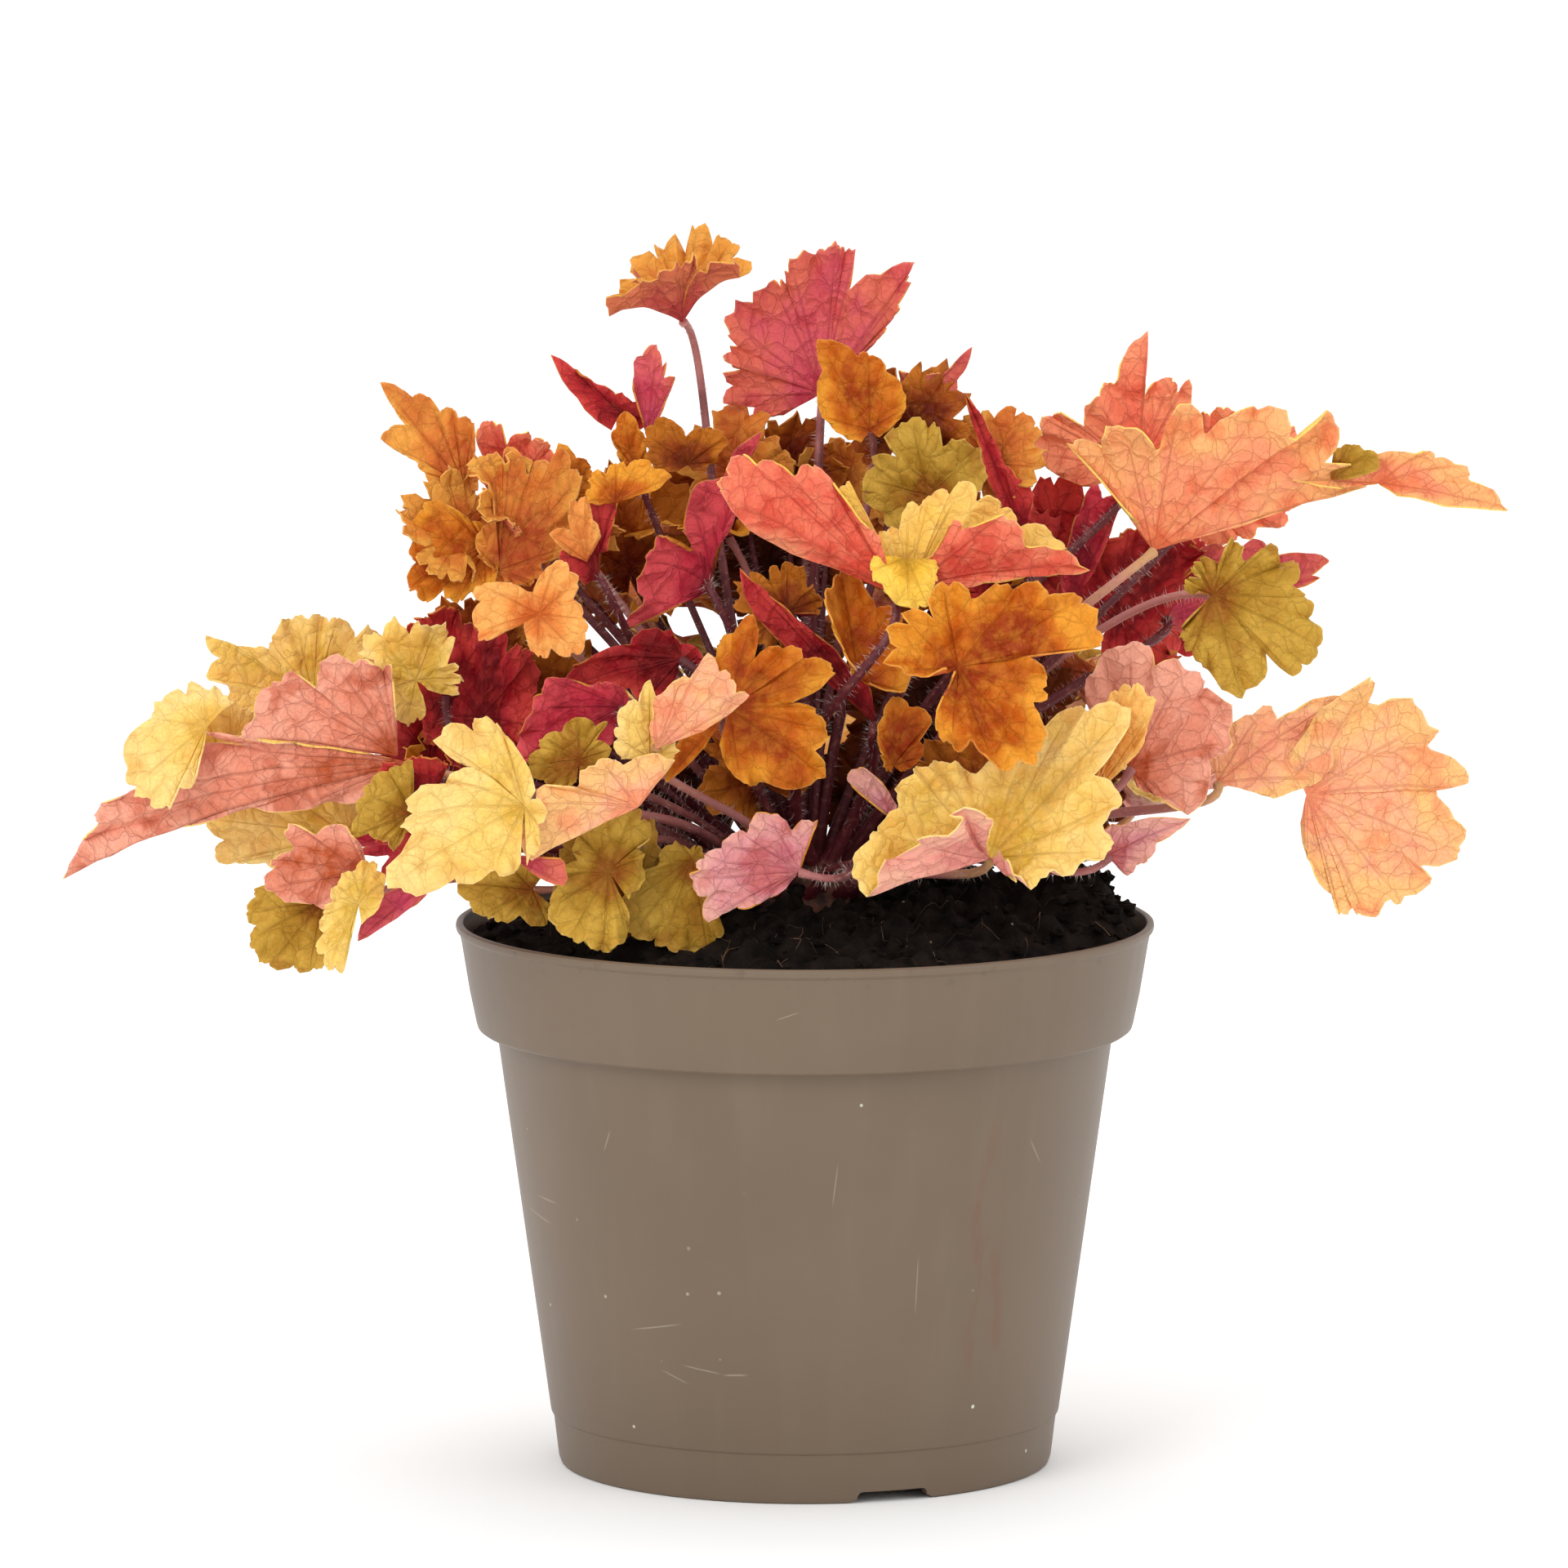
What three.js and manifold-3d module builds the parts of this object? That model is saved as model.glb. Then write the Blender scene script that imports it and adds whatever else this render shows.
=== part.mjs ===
// A potted heuchera (coral bells): a tapered nursery pot, its potting soil, one crown with all its stalks,
// and the lobed leaf blades that sit on them. Millimetres, +Z up, origin on the bench under the pot's axis.
// +X is the right-hand side and -Y the front.
import * as THREE from "three";
import { mergeVertices } from "three/addons/utils/BufferGeometryUtils.js";
import Module from "manifold-3d";

const wasm = await Module();
wasm.setup();

// ---------------------------------------------------------------- driving dimensions
const POT_HEIGHT = 94;
const RIM_RADIUS = 60;
const COLLAR_HEIGHT = 18.6;
const COLLAR_FOOT_RADIUS = 56.4;
const BODY_TOP_RADIUS = 53;
const FOOT_BAND_HEIGHT = 9;
const FOOT_BAND_TOP_RADIUS = 43.4;
const FOOT_RADIUS = 42.2;
const WALL = 1.3;
const FLOOR_LIFT = 3;
const HUB = { radius: 20, slope: 2 };
const POT_SIDES = 32;
const NOTCH = { count: 3, turn: -69.4, width: 17, depth: 2, flat: 0.75 };
const DRAIN = { count: 6, ring: 30, radius: 4 };

const SOIL = { level: 90.5, mound: 7, heap: 4.5, rings: 6, crumb: 1.5 };
const GAP = 0.3;
const SKIN = 0.05;

const CROWN = { radius: 12, base: 84, middle: 96, top: 106 };
const BLADE_THICKNESS = 0.7;
const STALK = { foot: 1.2, tip: 0.9, sides: 3, steps: 4 };

const radians = THREE.MathUtils.degToRad;

// ---------------------------------------------------------------- solids
function solidOf(geometry) {
  const bare = geometry.clone();
  for (const name of Object.keys(bare.attributes)) {
    if (name !== "position") bare.deleteAttribute(name);
  }
  const merged = mergeVertices(bare, 1e-4);
  const vertProperties = merged.attributes.position.array;
  const triVerts = new Uint32Array(merged.index.array);
  return new wasm.Manifold(new wasm.Mesh({ numProp: 3, vertProperties, triVerts }));
}

function geometryOf(solid) {
  const { numProp, numVert, vertProperties, triVerts } = solid.getMesh();
  const positions = new Float32Array(numVert * 3);
  for (let i = 0; i < numVert; i++) {
    positions.set(vertProperties.subarray(i * numProp, i * numProp + 3), i * 3);
  }
  const geometry = new THREE.BufferGeometry();
  geometry.setAttribute("position", new THREE.BufferAttribute(positions, 3));
  geometry.setIndex(new THREE.BufferAttribute(triVerts, 1));
  return geometry;
}

function facingOut(solid) {
  if (solid.volume() >= 0) return solid;
  throw new Error("a profile runs the wrong way round");
}

function turned(profile, sides) {
  const points = profile.map(([r, z]) => new THREE.Vector2(r, z));
  const lathe = new THREE.LatheGeometry(points, sides).rotateX(Math.PI / 2);
  return facingOut(solidOf(lathe));
}

// ---------------------------------------------------------------- pot
// The middle of the floor rests on the bench; the ring around it, with the drain holes, is lifted clear.
function potSolid() {
  const shoulder = POT_HEIGHT - COLLAR_HEIGHT;
  const outside = [
    [FOOT_RADIUS, 0],
    [FOOT_BAND_TOP_RADIUS, FOOT_BAND_HEIGHT - 0.4],
    [FOOT_BAND_TOP_RADIUS + 0.5, FOOT_BAND_HEIGHT],
    [BODY_TOP_RADIUS, shoulder],
    [COLLAR_FOOT_RADIUS, shoulder],
    [RIM_RADIUS - 0.6, POT_HEIGHT - 1.6],
    [RIM_RADIUS, POT_HEIGHT - 0.9],
    [RIM_RADIUS - 0.3, POT_HEIGHT],
  ];
  const inside = [
    [RIM_RADIUS - WALL, POT_HEIGHT],
    [COLLAR_FOOT_RADIUS - WALL, shoulder + WALL],
    [BODY_TOP_RADIUS - WALL, shoulder],
    [FOOT_RADIUS - WALL, FLOOR_LIFT + WALL],
    [HUB.radius + 0.7 * HUB.slope, FLOOR_LIFT + WALL],
    [HUB.radius - 0.3 * HUB.slope, WALL],
    [0, WALL],
  ];
  const under = [
    [0, 0],
    [HUB.radius, 0],
    [HUB.radius + HUB.slope, FLOOR_LIFT],
    [FOOT_RADIUS - 3, FLOOR_LIFT],
    [FOOT_RADIUS - 2, 0],
    [FOOT_RADIUS, 0],
  ];
  let pot = turned([...outside, ...inside, ...under], POT_SIDES);
  for (let i = 0; i < NOTCH.count; i++) {
    pot = pot.subtract(notchCutter(NOTCH.turn + (i * 360) / NOTCH.count));
  }
  for (let i = 0; i < DRAIN.count; i++) {
    const hole = new THREE.CylinderGeometry(DRAIN.radius, DRAIN.radius, 8, 10).rotateX(Math.PI / 2);
    hole.translate(DRAIN.ring, 0, FLOOR_LIFT).rotateZ(radians(NOTCH.turn + (i * 360) / DRAIN.count));
    pot = pot.subtract(solidOf(hole));
  }
  return pot;
}

function notchCutter(turn) {
  const half = NOTCH.width / 2;
  const flat = half * NOTCH.flat;
  const outline = new THREE.Shape([
    new THREE.Vector2(-half, -1),
    new THREE.Vector2(half, -1),
    new THREE.Vector2(half, 0),
    new THREE.Vector2(flat, NOTCH.depth),
    new THREE.Vector2(-flat, NOTCH.depth),
    new THREE.Vector2(-half, 0),
  ]);
  const bar = new THREE.ExtrudeGeometry(outline, { depth: 12, bevelEnabled: false });
  bar.rotateX(Math.PI / 2).translate(0, FOOT_RADIUS + 4, 0).rotateZ(radians(turn - 90));
  return facingOut(solidOf(bar));
}

// ---------------------------------------------------------------- soil
// The soil is mounded under the plant, heaped a little higher to the right, and crumbly on top.
function soilHeight(x, y) {
  const fromAxis = Math.hypot(x, y) / (RIM_RADIUS - WALL);
  const heaped = SOIL.heap * Math.max(0, (x + 0.5 * y) / RIM_RADIUS) * (1 - fromAxis ** 6);
  const mound = SOIL.mound * (1 - fromAxis ** 3) + heaped;
  const crumbs = Math.sin(0.61 * x + 1.3) * Math.sin(0.53 * y) + 0.6 * Math.sin(1.21 * x - 0.9 * y);
  return SOIL.level + mound + SOIL.crumb * crumbs * (1 - fromAxis ** 4);
}

function soilSolid() {
  const wallTop = RIM_RADIUS - WALL - GAP - 0.75;
  const positions = [];
  const faces = [];
  const ringStart = (ring) => 1 + (ring - 1) * POT_SIDES;
  const addRing = (radius, height) => {
    for (let i = 0; i < POT_SIDES; i++) {
      const turn = (i / POT_SIDES) * 2 * Math.PI;
      const [x, y] = [radius * Math.cos(turn), radius * Math.sin(turn)];
      positions.push(x, y, height(x, y));
    }
  };
  positions.push(0, 0, soilHeight(0, 0));
  for (let ring = 1; ring <= SOIL.rings; ring++) addRing((wallTop * ring) / SOIL.rings, soilHeight);
  const shoulder = POT_HEIGHT - COLLAR_HEIGHT;
  const below = [
    [COLLAR_FOOT_RADIUS - WALL - 2 * GAP, shoulder + WALL + GAP],
    [BODY_TOP_RADIUS - WALL - 2 * GAP, shoulder],
    [FOOT_RADIUS - WALL - 2 * GAP, FLOOR_LIFT + WALL + GAP],
    [HUB.radius + 0.5 * HUB.slope, FLOOR_LIFT + WALL + GAP],
    [HUB.radius - 0.7 * HUB.slope, WALL + GAP],
  ];
  for (const [radius, z] of below) addRing(radius, () => z);
  const rings = SOIL.rings + below.length;
  positions.push(0, 0, WALL + GAP);
  const last = positions.length / 3 - 1;
  for (let i = 0; i < POT_SIDES; i++) {
    const next = (i + 1) % POT_SIDES;
    faces.push(0, 1 + i, 1 + next);
    for (let ring = 1; ring < rings; ring++) {
      const [a, b] = [ringStart(ring), ringStart(ring + 1)];
      faces.push(a + i, b + i, b + next, a + i, b + next, a + next);
    }
    faces.push(last, ringStart(rings) + next, ringStart(rings) + i);
  }
  return facingOut(solidOf(meshOf(positions, faces)));
}

function meshOf(positions, faces) {
  const geometry = new THREE.BufferGeometry();
  geometry.setAttribute("position", new THREE.Float32BufferAttribute(positions, 3));
  geometry.setIndex(faces);
  return geometry;
}

// ---------------------------------------------------------------- leaf blades
// A blade is drawn flat first, in polar form about the point where its stalk joins it: seven rounded lobes,
// five on a young leaf, the middle one at 0 degrees. blunt is how square their ends are, and width narrows the
// blade. It is then bent along its midrib (arch), creased along it (crease) and rolled up (fold) on either
// side, dished (cup) and waved along its edge (wave). Angles are in degrees.
const LOBE_FAN = 322;
const SINUS_DEPTH = 0.22;
const FULL_LOBES = [0.62, 0.8, 0.93, 1, 0.93, 0.8, 0.62];
const YOUNG_LOBES = [0.7, 0.9, 1, 0.9, 0.7];
const YOUNG_BLADE = 13.5;
const PLAIN_BLADE = { blunt: 2.4, width: 1, fold: [20, 20], crease: [0, 0], arch: 15, cup: 0, wave: 0.06 };

function lobeTurn(lobes, i) {
  return (i - (lobes.length - 1) / 2) * (LOBE_FAN / lobes.length);
}

function reachAt({ lobes, blunt }, turn) {
  const spacing = LOBE_FAN / lobes.length;
  const place = Math.min(lobes.length - 1, Math.max(0, turn / spacing + (lobes.length - 1) / 2));
  const nearest = Math.round(place);
  const off = Math.min(1, Math.abs(turn - lobeTurn(lobes, nearest)) / (spacing / 2));
  const beside = nearest + Math.sign(turn - lobeTurn(lobes, nearest));
  const next = Math.min(lobes.length - 1, Math.max(0, beside));
  const sinus = (1 - SINUS_DEPTH) * Math.min(lobes[nearest], (lobes[nearest] + lobes[next]) / 2);
  return lobes[nearest] + (sinus - lobes[nearest]) * off ** blunt;
}

function direction([azimuth, elevation]) {
  const [a, e] = [radians(azimuth), radians(elevation)];
  return new THREE.Vector3(Math.cos(e) * Math.cos(a), Math.cos(e) * Math.sin(a), Math.sin(e));
}

// The direction part way from one axis to another that is square to it.
function between(axis, other, angle) {
  return axis.clone().multiplyScalar(Math.cos(angle)).addScaledVector(other, Math.sin(angle));
}

// The midrib is an arc: it leaves the stalk raised by half the arch, so that it ends where it should.
function bladeFrame(blade) {
  const at = new THREE.Vector3(...blade.at);
  const chord = new THREE.Vector3(...blade.end).sub(at);
  const straight = chord.clone().normalize();
  const face = direction(blade.face);
  const level = face.addScaledVector(straight, -face.dot(straight)).normalize();
  const half = radians(blade.arch) / 2;
  const along = between(straight, level, half);
  const up = between(level, straight.clone().negate(), half);
  const size = chord.length() * (Math.abs(half) < 1e-6 ? 1 : half / Math.sin(half));
  return { at, along, up, side: new THREE.Vector3().crossVectors(up, along), size };
}

// How far forward and how far up a strip of this length gets that sets off at one angle and bends on the way.
function arc(start, bend, length) {
  if (Math.abs(bend) < 1e-9) return [length * Math.cos(start), length * Math.sin(start)];
  const finish = start + bend * length;
  return [(Math.sin(finish) - Math.sin(start)) / bend, (Math.cos(start) - Math.cos(finish)) / bend];
}

function bladePoint(blade, frame, share, turn) {
  const theta = radians(turn);
  const reach = share * frame.size * reachAt(blade, turn);
  const a = reach * Math.cos(theta);
  const b = reach * Math.sin(theta) * blade.width;
  const wide = Math.sin(5 * theta + blade.phase) * share ** 2;
  const fine = Math.sin(9 * theta + 2.1 * blade.phase) * share ** 3;
  const lift = frame.size * (blade.wave * (wide + 0.6 * fine) + blade.cup * share ** 2);
  const bend = radians(blade.arch) / frame.size;
  const [run, drop] = arc(0, bend, a);
  const half = b >= 0 ? 0 : 1;
  const crease = Math.abs(b) < 1e-6 ? 0 : radians(blade.crease[half]);
  const fold = radians(blade.fold[half]) / (frame.size * blade.width);
  const [across, rise] = arc(crease, fold, Math.abs(b));
  const roll = Math.sign(b) * (crease + fold * Math.abs(b));
  return frame.at
    .clone()
    .addScaledVector(frame.along, run)
    .addScaledVector(frame.up, -drop)
    .addScaledVector(frame.side, Math.sign(b) * across - lift * Math.sin(roll))
    .addScaledVector(between(frame.up, frame.along, bend * a), rise + lift * Math.cos(roll));
}

const INNER_SHARE = 0.55;
const SMALL_BLADE = 20;

// A large blade has three points to a lobe between its sinuses, and one half-way in along the lobe's rib. A
// small one has two points to a lobe, and its lobes run straight out from the stalk.
function bladeSolid(blade, thickness) {
  const frame = bladeFrame(blade);
  const small = frame.size < SMALL_BLADE;
  const half = LOBE_FAN / blade.lobes.length / 2;
  const offs = small ? [-half, -0.4 * half, 0.4 * half] : [-half, -half / 2, 0, half / 2];
  const ribs = blade.lobes.map((_, i) => lobeTurn(blade.lobes, i));
  const turns = [...ribs.flatMap((rib) => offs.map((off) => rib + off)), LOBE_FAN / 2];
  const inner = small ? [] : ribs;
  const points = [frame.at];
  inner.forEach((turn) => points.push(bladePoint(blade, frame, INNER_SHARE, turn)));
  turns.forEach((turn) => points.push(bladePoint(blade, frame, 1, turn)));
  const outerAt = (i) => 1 + inner.length + i;
  const faces = [];
  ribs.forEach((_, j) => {
    const hub = small ? 0 : 1 + j;
    const first = offs.length * j;
    for (let i = first; i < first + offs.length; i++) faces.push([hub, outerAt(i), outerAt(i + 1)]);
    if (!small) faces.push([0, outerAt(first), hub], [0, hub, outerAt(first + offs.length)]);
  });
  const edge = [0, ...turns.map((_, i) => outerAt(i))];
  return facingOut(solidOf(thickened(points, faces, edge, thickness)));
}

// A sheet of triangles made into a closed plate: the same triangles on both faces, and a wall round its edge.
function thickened(points, faces, edge, thickness) {
  const normals = points.map(() => new THREE.Vector3());
  for (const [a, b, c] of faces) {
    const ab = points[b].clone().sub(points[a]);
    const normal = ab.cross(points[c].clone().sub(points[a])).normalize();
    for (const i of [a, b, c]) normals[i].add(normal);
  }
  const positions = [];
  for (const side of [0.5, -0.5]) {
    points.forEach((point, i) => {
      const moved = point.clone().addScaledVector(normals[i].normalize(), side * thickness);
      positions.push(moved.x, moved.y, moved.z);
    });
  }
  const under = points.length;
  const index = [];
  for (const [a, b, c] of faces) index.push(a, b, c, under + a, under + c, under + b);
  edge.forEach((a, i) => {
    const b = edge[(i + 1) % edge.length];
    index.push(a, under + a, under + b, a, under + b, b);
  });
  return meshOf(positions, index);
}

// ---------------------------------------------------------------- the leaves
// A leaf is one blade, or one creased so hard that its folded halves are drawn as blades of their own, or a
// bunch of young leaves that still touch. Of each blade: where the stalk joins it, where its middle lobe ends,
// and which way its upper side faces (azimuth and elevation in degrees, azimuth 0 is +X, -90 the front).
// lobes: the reach of each lobe as a share of the middle one, from the right rear lobe round to the left.
const LEAVES = [];
function leaf(name, tint, ...blades) {
  const full = blades.map(([at, end, face, more = {}]) => {
    const long = new THREE.Vector3(...end).distanceTo(new THREE.Vector3(...at));
    const lobes = long < YOUNG_BLADE ? YOUNG_LOBES : FULL_LOBES;
    return { ...PLAIN_BLADE, lobes, ...more, at, end, face };
  });
  full.forEach((blade, i) => (blade.phase = 1.7 * LEAVES.length + 2.3 * i));
  LEAVES.push({ name, tint, blades: full });
}

// the young leaves on top
leaf(
  "top_funnel", "amber",
  [[-21, 6, 196.5], [-17, 11, 212], [-90, 35], { cup: 0.3, fold: [50, 50], wave: 0.1 }],
);
leaf(
  "top_red", "rose",
  [[3, 8, 184], [4, 12, 209.5], [88, 5], { width: 0.85, fold: [-12, -12], blunt: 1.5 }],
);
leaf(
  "top_orange", "amber",
  [[11, -6, 179], [4, -8, 194], [-100, 12],
    { fold: [-25, 15], wave: 0.03, lobes: [0.3, 0.5, 0.8, 1, 0.85, 0.6, 0.4] }],
);
leaf(
  "top_bunch_right", "russet",
  [[17, -2, 177], [24, -4, 188], [-90, 20], {}],
  [[18, -3, 182], [28.5, 0, 192.5], [-70, 40], { width: 0.7, fold: [60, 40] }],
  [[21, -7, 168], [18, -9, 181], [-95, 15], { width: 0.85 }],
  [[27, -5, 166], [28, -2, 185], [-30, 10], { width: 0.7, fold: [60, 60] }],
  [[31, -3, 174], [38, 0, 181.5], [-60, 50], { fold: [50, 50] }],
);
leaf(
  "top_bunch_left", "russet",
  [[-29, -4, 172], [-31, -4, 182], [-100, 20], {}],
  [[-27, -3, 178], [-28.5, -5, 190], [90, 5], { width: 0.7 }],
  [[-30, -0.6, 181], [-44, 0, 192], [70, 30], { width: 0.5, blunt: 1 }],
  [[-20, -5, 173], [-22, -5, 183], [-90, 30], {}],
);

// the right-hand side
leaf(
  "right_red", "coral",
  [[57, 9, 170.6], [60, 13, 193], [90, 8],
    { lobes: [0.6, 0.85, 0.95, 1, 0.75, 0.6, 0.4], width: 0.9, blunt: 1.4 }],
);
leaf(
  "right_trough", "peach",
  [[59, -18, 159.8], [118, -26, 168.3], [90, 20],
    { arch: 22, fold: [15, 30], crease: [75, 5], blunt: 1.2, lobes: [0.36, 0.42, 0.6, 1, 0.4, 0.25, 0.15] }],
  [[89, -20.4, 172.2], [97, -18.2, 176.3], [-95, 20], {}],
);
leaf("right_coral", "coral", [[69, 17, 164.5], [78, 21, 179], [90, 12], {}]);
leaf(
  "right_magenta", "magenta",
  [[62, 8, 145], [89.5, 10, 153], [90, 15], { width: 0.6 }],
  [[54, 5, 146], [66, 6, 160], [90, 10], { width: 0.7 }],
);
leaf("right_strip", "magenta", [[46, 0, 149], [50, 2, 169], [100, 0], { width: 0.35, fold: [40, 40] }]);
leaf(
  "right_olive", "olive",
  [[69, -21, 152.5], [84, -22.3, 138], [-85, 25], { lobes: [0.3, 0.4, 0.85, 1, 0.85, 0.45, 0.3] }],
);
leaf("right_rose", "rose", [[55, -30, 124], [68, -32, 141.5], [85, 15], { width: 0.95 }]);
leaf(
  "right_far", "peach",
  [[70, -22, 120.5], [112, -25, 121.3], [92, 25],
    { lobes: [0.15, 0.35, 0.7, 1, 0.85, 0.25, 0.12], fold: [-30, 10], blunt: 1.6 }],
);

// the front on the right
leaf(
  "front_gold_right", "gold",
  [[31, -46, 111], [53, -44, 137], [-80, 40], { lobes: [0.22, 0.36, 0.72, 1, 0.62, 0.62, 0.7] }],
  [[33, -48, 110], [13, -55, 106], [100, 30], { lobes: [0.1, 0.15, 0.3, 1, 0.5, 0.35, 0.2] }],
);
leaf("front_peach_strip", "peach", [[48, -38, 120], [58, -36, 137.3], [-60, 20], { width: 0.4 }]);
leaf("front_rolled", "rose", [[15, -36, 116], [7, -36, 124], [100, 10], { width: 0.5 }]);
leaf("front_low_rose", "rose", [[51, -40, 110.5], [64, -42, 115.5], [90, 20], { width: 0.6, blunt: 1.2 }]);
leaf(
  "front_funnel", "amber",
  [[25.5, -44, 143], [35, -50, 128.5], [-88, 25], { cup: 0.3, lobes: [0.65, 0.62, 0.7, 1, 1.3, 0.95, 0.85] }],
);
leaf(
  "front_coral", "coral",
  [[15, -35, 154.3], [-13, -38, 172.8], [80, 20],
    { width: 0.62, arch: 20, lobes: [0.2, 0.3, 0.4, 1, 0.9, 0.75, 0.5] }],
  [[19, -34, 156], [48, -38, 160.5], [95, 25],
    { width: 0.5, lobes: [0.6, 0.75, 0.9, 1, 0.6, 0.3, 0.2], blunt: 1.3 }],
  [[17, -30, 153], [18, -27, 171], [-90, 25], { width: 1.1, lobes: [0.2, 0.5, 0.93, 1, 0.93, 0.5, 0.2] }],
  [[17, -33, 160], [19, -44, 152], [-90, 40], { lobes: [0.2, 0.3, 0.7, 1, 0.7, 0.3, 0.2] }],
);
leaf(
  "front_red_strip", "crimson",
  [[12, -26, 131], [-13, -30, 157.2], [80, 20], { width: 0.3, arch: 25 }],
  [[15, -26, 124], [16, -28, 137], [-90, 20], {}],
  [[9, -28, 139], [3, -29, 151], [-90, 20], { width: 0.7 }],
);
leaf("front_amber_small", "russet", [[-3, -20.5, 149.5], [-11, -20.5, 153.5], [-90, 30], {}]);

// the front on the left
leaf(
  "left_magenta", "magenta",
  [[-16, -14, 153.2], [-4, -10, 180.2], [60, 10], { width: 0.8, lobes: [0.5, 0.55, 0.5, 1, 0.35, 0.3, 0.3] }],
);
leaf(
  "left_orange_face", "amber",
  [[-13, -36, 135], [4.5, -38, 133], [-88, 20], { lobes: [1.15, 0.85, 1.1, 1, 0.95, 0.9, 0.5] }],
);
leaf("left_crimson", "crimson", [[-21, -23, 142], [-43, -28, 138.5], [90, 30], { width: 0.6 }]);
leaf("left_purple", "magenta", [[-31, -33, 135], [-48, -35, 132], [90, 30], { width: 0.55 }]);
leaf("left_peach", "peach", [[-45, -28, 150], [-56, -30, 153], [-90, 30], {}]);
leaf(
  "left_fold", "crimson",
  [[-35, -18, 155], [-23, -18, 169], [80, 20], { width: 0.55 }],
  [[-32, -19, 168], [-23, -21, 174], [-90, 40], { width: 0.8 }],
  [[-37, -19, 158], [-39, -20, 169], [-90, 10], { width: 0.6 }],
);
leaf(
  "left_ruffles", "amber",
  [[-58, -8.6, 169.7], [-70, -4, 185], [-100, 20], { width: 0.75, blunt: 1.2 }],
  [[-51, -12, 167], [-57, -13, 174], [-90, 50], { cup: 0.4 }],
  [[-57, -12, 162], [-68, -15, 166], [95, 20], {}],
  [[-54, -14, 160], [-66, -17, 152], [-100, 25], {}],
  [[-52, -15, 156], [-44, -14, 166], [-80, 20], {}],
);
leaf("left_red_top", "crimson", [[-50, 2, 168], [-50, 4, 180], [90, 10], {}]);
leaf("left_peach_top", "peach", [[-41, -9, 168.5], [-40, -9, 176.5], [-80, 10], {}]);
leaf(
  "left_deep_red", "crimson",
  [[-61, -12, 134], [-62, -14, 150], [80, 10], { width: 0.6 }],
  [[-55, -14, 131], [-54, -16, 147], [80, 10], { width: 0.7 }],
  [[-64, -14, 137], [-72, -14, 145], [-95, 25], {}],
);
leaf(
  "left_trough", "peach",
  [[-67, -30, 125], [-122, -42, 108], [95, 25],
    { width: 0.8, blunt: 1.2, crease: [0, 80], lobes: [0.2, 0.3, 0.5, 1, 0.6, 0.3, 0.2] }],
  [[-69, -28, 126], [-89, -29, 139], [90, 15], {}],
);
leaf("left_gold_side", "gold", [[-97, -12, 118], [-113, -14, 124], [-95, 15], { width: 0.8 }]);
leaf("left_gold_back", "gold", [[-84, 2, 131], [-102, 0, 139], [-95, 42], {}]);
leaf("left_gold_low", "gold", [[-78, -16, 111], [-99, -18, 109], [-95, 12], { width: 0.5 }]);
leaf(
  "left_olive_low", "olive",
  [[-81, -40, 103], [-93, -42, 95], [-95, 20], {}],
  [[-78, -43, 108], [-89, -47, 107], [95, 20], {}],
);
leaf(
  "left_under", "crimson",
  [[-63, -38.5, 120], [-71, -40, 112], [95, 20], {}],
  [[-66, -42, 118], [-76, -42, 120], [-90, 20], {}],
);
leaf(
  "front_gold_left", "gold",
  [[-47, -52, 120.5], [-68, -58, 112], [-95, 35], { width: 0.9 }],
  [[-28, -49, 120], [-47, -54, 116], [95, 15], { width: 0.65 }],
);
leaf(
  "front_peach_up", "peach",
  [[-25, -46, 129.5], [-14, -50, 142.5], [-70, 15], { lobes: [0.3, 0.5, 0.8, 1, 0.8, 0.5, 0.3] }],
  [[-26, -44, 127.5], [-29, -43, 139.5], [-90, 20], { width: 0.8 }],
);
leaf("front_olive_left", "olive", [[-38, -42, 127], [-46, -42, 129], [-90, 25], {}]);
leaf("front_olive_low", "olive", [[-46, -34, 104], [-57, -32, 101], [-90, 25], {}]);
leaf("front_olive_drop", "olive", [[-33, -41, 108], [-40, -45, 96], [-90, 25], {}]);
leaf("front_olive_mid", "olive", [[-19, -33, 109], [-24, -38, 97], [-90, 25], {}]);
leaf("front_pink_low", "rose", [[-1, -47, 109], [-18, -51, 109], [95, 20], {}]);

// The back of the plant has three tiers of leaves that face up and outwards, each a little unlike the last.
const BACK_TIERS = [
  { count: 5, arc: [14, 166], ring: 56, height: 110, reach: 28, face: 40, tints: ["gold", "olive", "peach"] },
  { count: 4, arc: [36, 146], ring: 36, height: 136, reach: 24, face: 50, tints: ["amber", "coral", "olive"] },
  { count: 3, arc: [40, 140], ring: 19, height: 160, reach: 17, face: 65, tints: ["russet", "rose", "amber"] },
];
for (const [row, tier] of BACK_TIERS.entries()) {
  for (let i = 0; i < tier.count; i++) {
    const stray = Math.sin(12.9 * i + 4.1 * row + 1);
    const turn = THREE.MathUtils.lerp(tier.arc[0], tier.arc[1], i / (tier.count - 1)) + 3 * stray;
    const height = tier.height + 2 * stray + (i % 2) * 0.4 * tier.reach;
    const at = direction([turn, 0]).multiplyScalar(tier.ring + 4 * stray);
    const end = direction([turn, 0]).multiplyScalar(tier.ring + tier.reach * (1 + 0.1 * stray));
    at.setZ(height);
    end.setZ(height - 2 + 5 * stray);
    const tint = tier.tints[i % tier.tints.length];
    leaf(`back_${row + 1}_${i + 1}`, tint, [[...at], [...end], [turn, tier.face], { cup: 0.15 }]);
  }
}

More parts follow.
